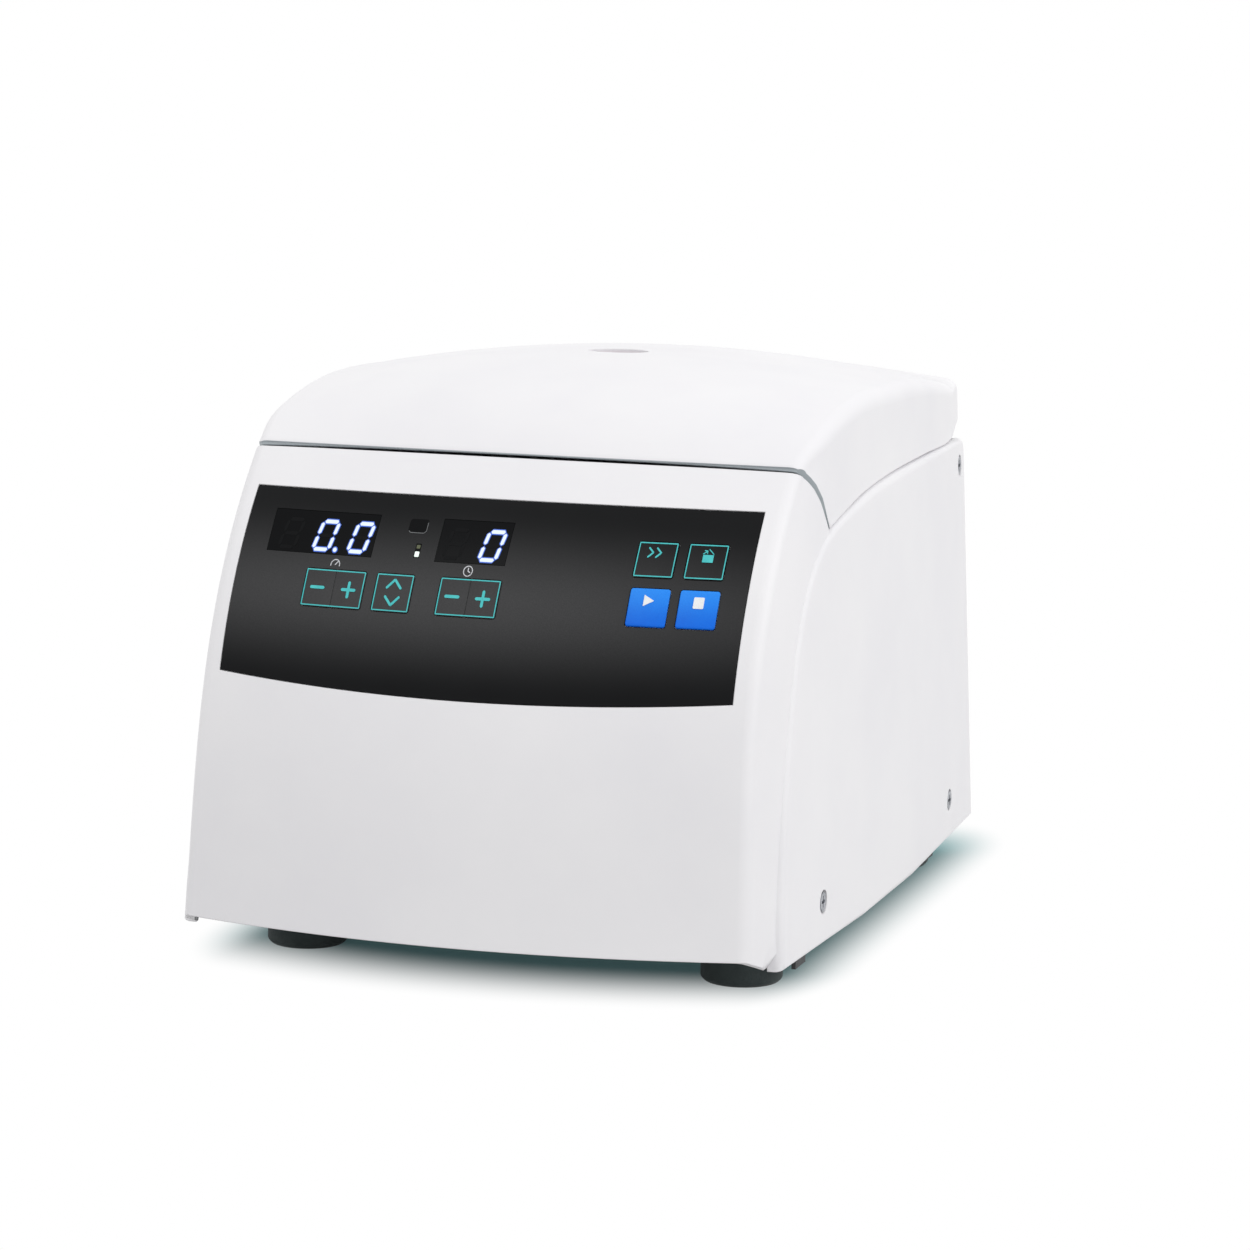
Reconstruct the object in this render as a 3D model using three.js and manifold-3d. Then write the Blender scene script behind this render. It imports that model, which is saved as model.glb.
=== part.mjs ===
// Hematocrit centrifuge: a compact bench instrument with a crowned lid over a rotor chamber.
// Millimetres, +Z up, the front faces -Y, origin on the table under the middle of the body.
import * as THREE from 'three';
import { mergeVertices } from 'three/addons/utils/BufferGeometryUtils.js';
import Module from 'manifold-3d';

const wasm = await Module();
wasm.setup();

// Overall form
const bodyWidth = 243;
const bodyDepth = 352;
const crestHeight = 222.5;
const lidRise = 29.5;
const deckDrop = 16.5;
const sideBottom = 16.4;
const frontBottom = 22.9;
const clearance = 0.3;
const overrun = 12;
const sharpEdge = 0.2;
const mergeReach = 1e-4;
const halfBody = bodyWidth / 2;
const halfDepth = bodyDepth / 2;
const lidLine = crestHeight - lidRise;
const deckTop = lidLine - deckDrop;
const crestPlaceShare = 0.22727;
const crestPlace = crestPlaceShare * halfDepth;

// A place in side view, from its shares of half the depth and of the lid line
const placed = ([y, z]) => [y * halfDepth, z * lidLine];

// Side walls: bowed in plan, drawn in towards the top
const sideBow = 8;
const sideMiddleShare = -0.03977;
const sideMiddle = sideMiddleShare * halfDepth;
const sideDraftShare = 0.05;
const sideProud = 1.2;
const sideEdgeRadius = 3.5;

// Front: leans back ever more towards the lid, bowed across, with a corner strip at each end
const leanLowShare = 0.07756;
const leanMiddleShare = -0.07642;
const leanTopShare = 0.21023;
const leanLow = leanLowShare * bodyDepth;
const leanMiddle = leanMiddleShare * bodyDepth;
const leanTop = leanTopShare * bodyDepth;
const frontBowLow = 16.7;
const frontBowTop = 5.3;
const stripInLow = 6.5;
const stripInTop = 4.3;
const stripRun = 30;
const frontEdgeRadius = 5;

// Housing shell and the arch that bounds its proud side walls
const housingWall = 3.5;
const archShares = [[-0.8068, 0.085], [-0.7943, 0.2228], [-0.7386, 0.4591], [-0.6261, 0.7124],
  [-0.4602, 0.8497], [-0.1761, 0.9067], [0.0966, 0.9285], [0.4545, 0.9332], [0.7955, 0.929],
  [0.9545, 0.9254]];
const archPoints = archShares.map(placed);
const rearTopRadius = 6;
const ledgeDrop = 17;
const ledgeTop = deckTop - ledgeDrop;
const ledgeThick = 2.5;
const ledgeReach = 7;
const ledgeFrontShare = -0.35227;
const ledgeFront = ledgeFrontShare * halfDepth;
const rearWindowSide = 35.5;
const rearWindowHalf = halfBody - rearWindowSide;
const rearWindowLow = 30;
const rearWindowDrop = 9.5;
const rearWindowHigh = ledgeTop - rearWindowDrop;

// Lid
const lidWall = 2.6;
const lidGap = 1;
const lidCrown = 10.6;
const lidSetIn = 6.5;
const lidRear = halfDepth - lidSetIn;
const lidRearDrop = 10.4;
const lidRearTop = crestHeight - lidRearDrop;
const lidRearRadius = 11;
const lidShoulderRadius = 6;
const lidCornerShare = -0.57386;
const lidCornerStart = lidCornerShare * halfDepth;
const lidTongueTipShares = [-0.39886, 0.87358];
const lidTongueTip = placed(lidTongueTipShares);
const lidTongueShares = [[-0.51705, 0], [-0.44602, 0.93264]];
const lidTongueCurve = lidTongueShares.map(placed);
const lidSideShares = [[-0.25568, 0.90104], [-0.10795, 0.92098], [0.14205, 0.93549],
  [0.47727, 0.93834], [0.80114, 0.93472], [0.90909, 0.95855], [0.96307, 0.97409]];
const lidSideEdge = lidSideShares.map(placed);

// Hinge
const hingeSetIn = 15.5;
const hingeY = halfDepth - hingeSetIn;
const hingeDrop = 3;
const hingeZ = lidLine - hingeDrop;
const hingePlaceShare = 0.51029;
const hingePlace = hingePlaceShare * halfBody;
const hingePinRadius = 2.5;
const hingeEyeRadius = 5.8;
const hingeLeaf = 4;
const hingeFootLong = 18;
const hingeFootWide = 15;
const hingeFootThick = 2;
const hingeArmReach = 34;
const hingeArmHigh = 5;
const hingeArmFoot = 12;

// Lid liner, sight window and striker
const linerRise = 5.3;
const linerLow = deckTop + linerRise;
const linerThick = 2.5;
const linerFrontShare = -0.55114;
const linerFront = linerFrontShare * halfDepth;
const linerRearIn = 16.5;
const linerRear = hingeY - linerRearIn;
const windowRadius = 12;
const windowThick = 3.5;
const windowDrop = 1.2;
const windowLedge = 2.2;
const windowBoss = 3;
const sightTubeWall = 1.8;
const boltDrop = 13.5;
const boltHeight = deckTop - boltDrop;
const strikerPlaceShare = -0.51705;
const strikerPlace = strikerPlaceShare * halfDepth;
const strikerWide = 8;
const strikerThick = 3;
const strikerTail = 6;
const strikerLow = boltHeight - strikerTail;
const strikerEye = 5.6;
const strikerFoot = 14;
const strikerSwingFront = 7.2;
const strikerSwingRear = 6.4;

// Deck, bowl and seals, round the rotor's axis
const rotorPlaceShare = 0.11364;
const rotorPlace = rotorPlaceShare * halfDepth;
const deckThick = 3;
const deckSkirtWall = 2.5;
const deckGap = 0.5;
const bowlSideRoom = 27.5;
const bowlLockRoom = 17;
const bowlRadius = Math.min(halfBody - bowlSideRoom, rotorPlace - strikerPlace - bowlLockRoom);
const bowlWall = 1.2;
const bowlDeep = 64.5;
const bowlFloor = deckTop - bowlDeep;
const bowlFlange = 7;
const bowlCorner = 9;
const bowlHole = 17;
const bowlCollar = 5;
const sealWide = 4;
const sealHigh = 4.7;

// Motor group
const motorRadiusShare = 0.44681;
const motorRadius = motorRadiusShare * bowlRadius;
const motorLow = 41.3;
const motorDrop = 8;
const motorHigh = bowlFloor - motorDrop;
const motorRib = 1.6;
const motorRibs = 3;
const motorPlateThick = 3;
const motorPlateRim = 2;
const motorMountRadius = 9;
const motorMountShare = 0.56383;
const motorMountCircle = motorMountShare * bowlRadius;
const motorPlateRadius = motorMountCircle + motorMountRadius + motorPlateRim;
const spindleRadius = 5;
const spindleDepth = 20;
const studRadius = 4;

// Rotor group
const rotorRoom = 6;
const rotorRadius = bowlRadius - rotorRoom;
const rotorRise = 18;
const rotorLow = bowlFloor + rotorRise;
const rotorThick = 17;
const rotorTop = rotorLow + rotorThick;
const rotorRimHigh = 7;
const rotorRimWide = 4.6;
const rotorHubRadius = 15;
const rotorDisc = 9;
const slotCount = 24;
const slotWide = 2.2;
const slotDeep = 2.4;
const slotStart = 17;
const gasketWide = 2.4;
const gasketDeep = 2.5;
const gasketHigh = 6;
const rotorCoverThick = 2;
const rotorCoverBead = 1.2;
const knobRadius = 14;
const knobHigh = 19;
const knobGrips = 8;
const knobGripRadius = 4;

// Lock under the deck
const lockWide = 24;
const lockDeep = 22;
const lockHigh = 22;
const lockSlotHalf = 3.3;
const boltRadius = 2.3;
const boltStart = 4;
const boltLong = 26;
const solenoidLong = 30;
const solenoidHigh = 20;

// Control panel foil, keys and displays: x is the place along the front, z the height on it.
// Spans are shares of the panel's half width from the middle, rows are shares of its height.
const panelMiddle = -0.5;
const panelHalfShare = 0.80988;
const panelHalf = panelHalfShare * halfBody;
const panelTopShare = 0.92539;
const panelTop = panelTopShare * lidLine;
const panelLowShare = 0.5715;
const panelLow = panelLowShare * lidLine;
const panelTall = panelTop - panelLow;
const panelSpan = (shares) => shares.map((share) => share * panelHalf);
const panelRow = (shares) => shares.map((share) => panelLow + share * panelTall);
const panelLowRise = 3.8;
const panelRecess = 1.6;
const foilThick = 1.3;
const keyProud = 0.25;
const keyRaised = 0.6;
const keyThick = 1.15;
const lowRowShares = [0.4202, 0.60761];
const highRowShares = [0.66325, 0.83455];
const keySpanShares = {
  speed_down_key: [-0.70935, -0.58841],
  speed_up_key: [-0.58537, -0.46443],
  unit_key: [-0.4187, -0.27033],
  time_down_key: [-0.16362, -0.04776],
  time_up_key: [-0.04472, 0.07215],
  pulse_key: [0.56199, 0.70935],
  open_key: [0.75102, 0.89634],
  start_key: [0.56707, 0.71443],
  stop_key: [0.75203, 0.89736],
};
const highKeys = ['pulse_key', 'open_key'];
const raisedKeys = ['start_key', 'stop_key'];
const keyPlaces = Object.fromEntries(Object.entries(keySpanShares).map(([name, span]) => [name, {
  x: panelSpan(span),
  z: panelRow(highKeys.includes(name) ? highRowShares : lowRowShares),
  proud: raisedKeys.includes(name) ? keyRaised : keyProud,
}]));
const displayRowShares = [0.68375, 0.89165];
const displaySpanShares = { speed_display: [-0.89736, -0.46443], time_display: [-0.20732, 0.06911] };
const displayPlaces = Object.fromEntries(Object.entries(displaySpanShares).map(([name, span]) => [name,
  { x: panelSpan(span), z: panelRow(displayRowShares) }]));
const lightPlaceShare = -0.28354;
const lightPlace = lightPlaceShare * panelHalf;
const lightWide = 1.8;
const lightRowShares = [0.69693, 0.76281];
const lightRow = panelRow(lightRowShares);
const displayRim = 2;
const displayDeep = 8.5;
const boardHeightShare = 0.65447;
const boardHeight = panelLow + boardHeightShare * panelTall;
const boardDepth = 16;
const boardThick = 1.6;
const boardSetIn = 0.4;
const boardHalf = panelHalf - boardSetIn;
const boardTallShare = 0.61493;
const boardTall = boardTallShare * panelTall;
const boardPost = 3.5;
const boardPostIn = 4;
const boardPostPlace = boardHalf - boardPostIn;
const boardPostShare = 0.21962;
const boardPostRise = boardPostShare * panelTall;

// Casing screws: [y, z] of each, the same on both sides
const screwFrontShare = -0.52784;
const screwRearShare = 0.66761;
const screwFrontHeight = 32.8;
const screwRearHeight = 33.4;
const screwTopIn = 14.8;
const screwTopDrop = 8.5;
const screwPlaces = {
  front: [screwFrontShare * halfDepth, screwFrontHeight],
  rear: [screwRearShare * halfDepth, screwRearHeight],
  top: [halfDepth - screwTopIn, deckTop - screwTopDrop],
};
const screwRecess = 4.5;
const screwRecessDeep = 2.8;
const screwBoss = 6.2;
const screwBossDeep = 1.1;
const screwHead = 3.7;
const screwHeadHigh = 2.2;
const screwShank = 1.9;
const screwLong = 9;

// Base, feet and what stands on the base
const baseLow = 17;
const baseThick = 2;
const baseFrontShare = -0.82955;
const baseFront = baseFrontShare * halfDepth;
const baseSetIn = 0.9;
const baseFlangeHigh = 26;
const baseFlangeLong = 14;
const baseFlangeThick = 1.6;
const baseTabIn = 3.6;
const baseTabDrop = 9;
const footRadius = 15.4;
const footTaper = 1.6;
const footSideShare = 0.7144;
const footFrontShare = -0.51023;
const footRearShare = 0.79545;
const footPlaceX = footSideShare * halfBody;
const footPlaceFront = footFrontShare * halfDepth;
const footPlaceRear = footRearShare * halfDepth;
const footWaist = 1.5;
const powerBoardLong = 70;
const powerBoardWide = 110;
const powerBoardShare = 0.61364;
const powerBoardPlace = powerBoardShare * halfDepth;
const powerBoardRise = 8;
const powerPost = 3;
const transformerLong = 34;
const transformerWide = 36;
const transformerHigh = 28;
const capacitorRadius = 9;
const capacitorHigh = 21;
const capacitorPlace = 20;
const capacitorPitch = 22;

// Rear panel and its fittings
const rearPanelThick = 1.5;
const rearPanelLap = 8;
const rearPanelHalf = rearWindowHalf + rearPanelLap;
const rearPanelDrop = 2.5;
const rearPanelHigh = ledgeTop - rearPanelDrop;
const rearPanelFoot = 20;
const inletPlaceShare = -0.31276;
const inletPlace = inletPlaceShare * halfBody;
const inletHeight = 62;
const inletWide = 66;
const inletTall = 48;
const inletFlange = 2.2;
const inletRim = 2;
const inletDeep = 24;
const socketShift = 16;
const socketPlace = inletPlace - socketShift;
const socketWide = 24.4;
const socketTall = 17;
const socketDeep = 20;
const socketDrop = 11;
const socketPinLong = 13;
const socketPinWide = 2;
const socketPinTall = 4;
const socketPinSpread = 7;
const socketPinRise = 2;
const drawerWide = 22;
const drawerTall = 10;
const drawerDeep = 17;
const drawerRise = 13;
const drawerLip = 0.9;
const drawerLipRim = 1;
const rockerShift = 18;
const rockerPlace = inletPlace + rockerShift;
const rockerWide = 13;
const rockerHalfTall = 9.3;
const rockerPivotIn = 3.1;
const rockerDip = 1.1;
const rockerEdge = 1.5;
const rockerThick = 3;
const rockerTilt = 8;
const rockerPin = 1;
const rockerPinLong = 1.3;
const rockerRoom = 0.8;
const ventCount = 12;
const ventPitchShare = 0.04938;
const ventPitch = ventPitchShare * halfBody;
const ventWide = 2.6;
const ventTall = 56;
const ventPlaceShare = 0.34568;
const ventPlace = ventPlaceShare * halfBody;
const ventHeight = 74;

// Facet counts
const frontSteps = 8;
const lidSteps = 6;
const acrossSteps = 6;
const cornerSteps = 3;
const roundSteps = 16;
const screwSteps = 8;
const boltSteps = 12;
const bowlSteps = 32;
const rotorSteps = 48;

const white = { color: 0xf1eff1, roughness: 0.55, metalness: 0 };
const black = { color: 0x1d1f21, roughness: 0.25, metalness: 0 };
const rubber = { color: 0x2d3535, roughness: 0.85, metalness: 0 };
const steel = { color: 0xb9bcc0, roughness: 0.35, metalness: 0.9 };
const greyPaint = { color: 0x9a9fa3, roughness: 0.6, metalness: 0.2 };
const blackPaint = { color: 0x2c2d30, roughness: 0.55, metalness: 0.2 };
const alloy = { color: 0xc9ccd0, roughness: 0.3, metalness: 0.8 };
const boardGreen = { color: 0x1e5a3a, roughness: 0.6, metalness: 0 };
const keyBlue = { color: 0x1e6fe0, roughness: 0.4, metalness: 0 };
const clear = { color: 0xd9d3d6, roughness: 0.15, metalness: 0 };
const darkPlastic = { color: 0x26282a, roughness: 0.5, metalness: 0 };

const part = new THREE.Group();

// A closed three.js geometry as a solid for cutting and joining
function solid(geometry) {
  const bare = geometry.clone();
  bare.deleteAttribute('normal');
  bare.deleteAttribute('uv');
  const merged = mergeVertices(bare, mergeReach);
  const corner = merged.attributes.position;
  const places = [];
  for (let index = 0; index < corner.count; index++) {
    places.push([corner.getX(index), corner.getY(index), corner.getZ(index)]);
  }
  const faces = [];
  for (let index = 0; index < merged.index.count; index += 3) {
    const face = [0, 1, 2].map((turn) => merged.index.getX(index + turn));
    if (new Set(face).size === 3) faces.push(face);
  }
  return closed(places, faces);
}

// A solid from vertices and triangles, turned so that its faces point out
function closed(places, faces) {
  let volume = 0;
  for (const [a, b, c] of faces) {
    const [p, q, r] = [places[a], places[b], places[c]].map((place) => new THREE.Vector3(...place));
    volume += p.dot(q.cross(r));
  }
  const turnedFaces = volume < 0 ? faces.map(([a, b, c]) => [a, c, b]) : faces;
  return new wasm.Manifold(new wasm.Mesh({
    numProp: 3,
    vertProperties: new Float32Array(places.flat()),
    triVerts: new Uint32Array(turnedFaces.flat()),
  }));
}

// Adds a solid to the scene under its own name
function piece(name, body, look) {
  const mesh = body.getMesh();
  const geometry = new THREE.BufferGeometry();
  geometry.setAttribute('position', new THREE.BufferAttribute(new Float32Array(mesh.vertProperties), 3));
  geometry.setIndex(new THREE.BufferAttribute(new Uint32Array(mesh.triVerts), 1));
  geometry.computeVertexNormals();
  const item = new THREE.Mesh(geometry, new THREE.MeshStandardMaterial(look));
  item.name = name;
  part.add(item);
}

// A block between two corners
function block(low, high) {
  const size = high.map((value, axis) => value - low[axis]);
  const geometry = new THREE.BoxGeometry(size[0], size[1], size[2]);
  geometry.translate((low[0] + high[0]) / 2, (low[1] + high[1]) / 2, (low[2] + high[2]) / 2);
  return solid(geometry);
}

// A round bar from one point to another
function bar(radius, from, to, steps = roundSteps) {
  const start = new THREE.Vector3(...from);
  const run = new THREE.Vector3(...to).sub(start);
  const geometry = new THREE.CylinderGeometry(radius, radius, run.length(), steps);
  geometry.translate(0, run.length() / 2, 0);
  const turn = new THREE.Quaternion().setFromUnitVectors(new THREE.Vector3(0, 1, 0), run.normalize());
  geometry.applyQuaternion(turn);
  geometry.translate(start.x, start.y, start.z);
  return solid(geometry);
}

// A body of revolution about a vertical axis, from [radius, height] points that close on themselves
function turned(points, x, y, steps = roundSteps) {
  const outline = points.map(([radius, height]) => new THREE.Vector2(radius, height));
  outline.push(outline[0].clone());
  const geometry = new THREE.LatheGeometry(outline, steps);
  geometry.rotateX(Math.PI / 2);
  geometry.translate(x, y, 0);
  return solid(geometry);
}

// A side-view outline of [y, z] points, drawn out along X
function drawnX(points, from, to) {
  const shape = new THREE.Shape(points.map(([y, z]) => new THREE.Vector2(y, z)));
  const geometry = new THREE.ExtrudeGeometry(shape, { depth: to - from, bevelEnabled: false });
  geometry.applyMatrix4(new THREE.Matrix4().makeBasis(
    new THREE.Vector3(0, 1, 0), new THREE.Vector3(0, 0, 1), new THREE.Vector3(1, 0, 0)));
  geometry.translate(from, 0, 0);
  return solid(geometry);
}

// A plan outline of [x, y] points, drawn out upwards
function drawnUp(points, from, to) {
  const shape = new THREE.Shape(points.map(([x, y]) => new THREE.Vector2(x, y)));
  const geometry = new THREE.ExtrudeGeometry(shape, { depth: to - from, bevelEnabled: false });
  geometry.translate(0, 0, from);
  return solid(geometry);
}

// Half width of the proud side walls
function sideX(y, z) {
  const along = (y - sideMiddle) / halfDepth;
  return halfBody - sideBow * along ** 2 - sideDraftShare * (z - sideBottom);
}

function frontShare(z) {
  return (z - frontBottom) / (lidLine - frontBottom);
}

// Front face on the centre line, and how far it falls back at its ends
function frontY(z) {
  const rise = frontShare(z);
  return -halfDepth + leanLow * rise + leanMiddle * rise ** 2 + leanTop * rise ** 3;
}

function frontBow(z) {
  return frontBowLow + (frontBowTop - frontBowLow) * frontShare(z);
}

// Half width of the front shell and lid, narrowing over the corner strips
function shellX(y, z) {
  const height = Math.min(z, lidLine);
  const edge = frontY(height) + frontBow(height);
  const near = Math.min(1, Math.max(0, 1 - (y - edge) / stripRun));
  const stripIn = stripInLow + (stripInTop - stripInLow) * Math.max(0, frontShare(height));
  return sideX(y, z) - sideProud - stripIn * near ** 2;
}

// Side-view outline moved inwards by a wall
function insetOutline(outline, inset) {
  return outline.map((point, index) => {
    const before = outline[(index + outline.length - 1) % outline.length];
    const after = outline[(index + 1) % outline.length];
    const run = Math.hypot(after.y - before.y, after.z - before.z);
    const y = point.y + inset * (after.z - before.z) / run;
    const z = point.z - inset * (after.y - before.y) / run;
    return { ...point, y, z, radius: Math.max(point.radius - inset, sharpEdge) };
  });
}

// A loaf: an outline in side view, bowed across, with rounded edges and bowed flanks.
// Each section lies on a plane through the pole line, which runs across the body.
function loaf(outline, pole, halfWidth, depths) {
  const columns = [];
  for (const point of outline) {
    const column = [];
    const cornerY = point.y + point.bowY;
    const cornerZ = point.z + point.bowZ;
    const reach = Math.hypot(pole[0] - cornerY, pole[1] - cornerZ);
    const inY = (pole[0] - cornerY) / reach;
    const inZ = (pole[1] - cornerZ) / reach;
    const flank = [...depths].reverse().map((depth) => point.radius + depth * (reach - point.radius));
    const half = halfWidth(cornerY + inY * point.radius, cornerZ + inZ * point.radius);
    for (const depth of flank) {
      const y = cornerY + inY * depth;
      const z = cornerZ + inZ * depth;
      column.push([halfWidth(y, z), y, z]);
    }
    for (let step = cornerSteps - 1; step > 0; step--) {
      const angle = step / cornerSteps * Math.PI / 2;
      const x = half - point.radius + point.radius * Math.sin(angle);
      const depth = point.radius * (1 - Math.cos(angle));
      const share = (x / half) ** 2;
      column.push([x, point.y + point.bowY * share + inY * depth,
        point.z + point.bowZ * share + inZ * depth]);
    }
    const flat = half - point.radius;
    for (let step = 0; step <= acrossSteps / 2; step++) {
      const x = flat * (1 - 2 * step / acrossSteps);
      const share = (x / half) ** 2;
      column.push([x, point.y + point.bowY * share, point.z + point.bowZ * share]);
    }
    const mirrored = column.slice(0, -1).reverse().map(([x, y, z]) => [-x, y, z]);
    columns.push([...column, ...mirrored]);
  }
  const rows = columns[0].length;
  const rightPole = columns.length * rows;
  const leftPole = rightPole + 1;
  const poleHalf = halfWidth(pole[0], pole[1]);
  const places = [...columns.flat(), [poleHalf, ...pole], [-poleHalf, ...pole]];
  const faces = [];
  columns.forEach((column, index) => {
    const here = index * rows;
    const next = (index + 1) % columns.length * rows;
    faces.push([rightPole, here, next], [leftPole, next + rows - 1, here + rows - 1]);
    for (let row = 0; row < rows - 1; row++) {
      faces.push([here + row, here + row + 1, next + row + 1], [here + row, next + row + 1, next + row]);
    }
  });
  return closed(places, faces);
}

function bezier(points, steps) {
  const curve = new THREE.CubicBezierCurve(...points.map(([y, z]) => new THREE.Vector2(y, z)));
  return curve.getPoints(steps).map((point) => [point.x, point.y]);
}

// Side-view outline of front shell and lid, front edge first and then over the lid to the back
const lidRiseY = leanLow + 2 * leanMiddle + 3 * leanTop;
const lidRiseZ = lidLine - frontBottom;
const lidRiseShare = 0.27;
const lidSlopeShare = 1.146;
const crestReachShare = 0.22;
const crownRateShare = 3.27;
function shellOutline(low) {
  const outline = [];
  for (let step = 0; step < frontSteps; step++) {
    const z = frontBottom + (lidLine - frontBottom) * step / frontSteps;
    outline.push({ y: frontY(z), z, bowY: frontBow(z), bowZ: 0, radius: frontEdgeRadius });
  }
  const edge = [frontY(lidLine), lidLine];
  const lidRun = crestPlace - edge[0];
  const rising = bezier([edge,
    [edge[0] + lidRiseShare * lidRun, edge[1] + lidRiseShare * lidRun * lidSlopeShare * lidRiseZ / lidRiseY],
    [crestPlace - crestReachShare * lidRun, crestHeight], [crestPlace, crestHeight]], lidSteps);
  rising.forEach(([y, z], step) => {
    const share = step / lidSteps;
    const turn = Math.min(1, crownRateShare * share);
    outline.push({ y, z, bowY: frontBowTop * (1 - turn), bowZ: -lidCrown * turn,
      radius: frontEdgeRadius + (lidShoulderRadius - frontEdgeRadius) * share });
  });
  const rearRun = lidRear - lidRearRadius - crestPlace;
  const falling = bezier([[crestPlace, crestHeight], [crestPlace + rearRun / 3, crestHeight],
    [crestPlace + 2 * rearRun / 3, crestHeight - (crestHeight - lidRearTop) / 2],
    [crestPlace + rearRun, lidRearTop]], lidSteps - 2);
  falling.slice(1).forEach(([y, z]) => {
    outline.push({ y, z, bowY: 0, bowZ: -lidCrown, radius: lidShoulderRadius });
  });
  for (let step = 1; step <= cornerSteps; step++) {
    const angle = step / cornerSteps * Math.PI / 2;
    const share = 1 - step / cornerSteps;
    outline.push({ y: lidRear - lidRearRadius * (1 - Math.sin(angle)),
      z: lidRearTop - lidRearRadius * (1 - Math.cos(angle)), bowY: 0, bowZ: -lidCrown * share,
      radius: frontEdgeRadius });
  }
  const heights = [lidLine - overrun, (lidLine + frontBottom) / 2];
  heights.forEach((z) => outline.push({ y: lidRear, z, bowY: 0, bowZ: 0, radius: frontEdgeRadius }));
  outline.push({ y: lidRear, z: low, bowY: 0, bowZ: 0, radius: sharpEdge });
  outline.push({ y: crestPlace, z: low, bowY: 0, bowZ: 0, radius: sharpEdge });
  outline.push({ y: -crestPlace, z: low, bowY: 0, bowZ: 0, radius: sharpEdge });
  if (low < frontBottom) {
    outline.push({ y: frontY(frontBottom), z: low, bowY: frontBowLow, bowZ: 0, radius: sharpEdge });
  }
  return outline;
}

// Side-view outline of the proud side walls
function wallOutline(low, lift) {
  const spline = new THREE.SplineCurve(archPoints.map(([y, z]) => new THREE.Vector2(y, z)));
  const outline = spline.getPoints(2 * frontSteps).map(({ x, y }) => ({ y: x, z: y }));
  const back = halfDepth;
  const top = archPoints[archPoints.length - 1][1];
  for (let step = 1; step <= cornerSteps; step++) {
    const angle = step / cornerSteps * Math.PI / 2;
    outline.push({ y: back - rearTopRadius * (1 - Math.sin(angle)),
      z: top - rearTopRadius * (1 - Math.cos(angle)) });
  }
  outline.push({ y: back, z: (top + low) / 2 });
  outline.push({ y: back, z: low });
  outline.push({ y: crestPlace, z: low });
  outline.push({ y: -crestPlace, z: low });
  outline[0].z = low;
  return outline.map((point) => {
    const raised = point.y > archPoints[4][0] && point.z > ledgeTop ? lift : 0;
    return { y: point.y, z: point.z + raised, bowY: 0, bowZ: 0, radius: sideEdgeRadius };
  });
}

const shellPole = [rotorPlace, (frontBottom + lidLine) / 2 - 2 * overrun];
const shellDepthShares = [0, 0.06, 0.15, 0.4];
const wallDepthShares = [0, 0.4];
const topOpen = 40;

// Side view of the joint between lid and housing
const lidLow = lidLine + lidGap / 2;
const tongueCurve = bezier([[lidCornerStart, lidLow], [lidTongueCurve[0][0], lidLow], lidTongueCurve[1],
  lidTongueTip], lidSteps);
const gapLeanShare = 0.7;

function makeHousing() {
  const shell = loaf(shellOutline(sideBottom), shellPole, shellX, shellDepthShares);
  const frontCurve = tongueCurve.map(([y, z]) => [y - lidGap * gapLeanShare, z - lidGap]);
  const behindTip = lidTongueTip[0] + 2 * lidGap;
  const front = shell.intersect(drawnX([[-bodyDepth, 0], [-bodyDepth, lidLow - lidGap], ...frontCurve,
    [behindTip, ledgeTop], [behindTip, 0]], -bodyWidth, bodyWidth));
  const walls = loaf(wallOutline(sideBottom, 0), shellPole, sideX, wallDepthShares);
  const shellRoom = loaf(insetOutline(shellOutline(sideBottom - overrun), housingWall), shellPole,
    (y, z) => shellX(y, z) - housingWall, shellDepthShares);
  const wallRoom = loaf(insetOutline(wallOutline(sideBottom - overrun, topOpen), housingWall), shellPole,
    (y, z) => sideX(y, z) - housingWall, wallDepthShares);
  let body = front.add(walls).subtract(shellRoom.add(wallRoom).subtract(ledgeBand()));
  body = body.subtract(frontFoot());
  body = body.add(boardPosts());
  const recess = frontPatch(panelEdges(clearance), overrun, -panelRecess);
  body = body.subtract(recess);
  for (const { x, z } of Object.values(displayPlaces)) {
    body = body.subtract(frontPatch(straightEdges(x, z, -displayRim), overrun, -2 * housingWall));
  }
  body = body.subtract(block([-rearWindowHalf, halfDepth - overrun, rearWindowLow],
    [rearWindowHalf, halfDepth + overrun, rearWindowHigh]));
  for (const [y, z] of Object.values(screwPlaces)) {
    for (const side of [-1, 1]) {
      const face = sideX(y, z);
      const inner = face - housingWall - screwBossDeep;
      body = body.add(bar(screwBoss, [side * (face - housingWall / 2), y, z],
        [side * inner, y, z], screwSteps));
      body = body.subtract(bar(screwRecess, [side * (face - screwRecessDeep), y, z],
        [side * (face + overrun), y, z], boltSteps));
      body = body.subtract(bar(screwShank + clearance, [side * (face + overrun), y, z],
        [side * (inner - overrun / 2), y, z], screwSteps));
    }
  }
  return body;
}

// Rail inside each side wall that the deck's skirt stands on
function ledgeBand() {
  const rail = block([-bodyWidth, ledgeFront, ledgeTop - ledgeThick],
    [bodyWidth, linerRear, ledgeTop]);
  return rail.subtract(drawnUp(plan(ledgeTop, housingWall + ledgeReach, -bodyDepth, bodyDepth),
    ledgeTop - overrun, ledgeTop + overrun));
}

// Below the front edge, which stands higher than the side walls, each wall slopes up to it
function frontFoot() {
  const corner = frontY(frontBottom) + frontBow(frontBottom);
  return drawnX([[-bodyDepth, sideBottom - overrun], [archPoints[0][0], sideBottom - overrun],
    [archPoints[0][0], sideBottom], [corner, frontBottom], [-bodyDepth, frontBottom]], -bodyWidth, bodyWidth);
}

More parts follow.
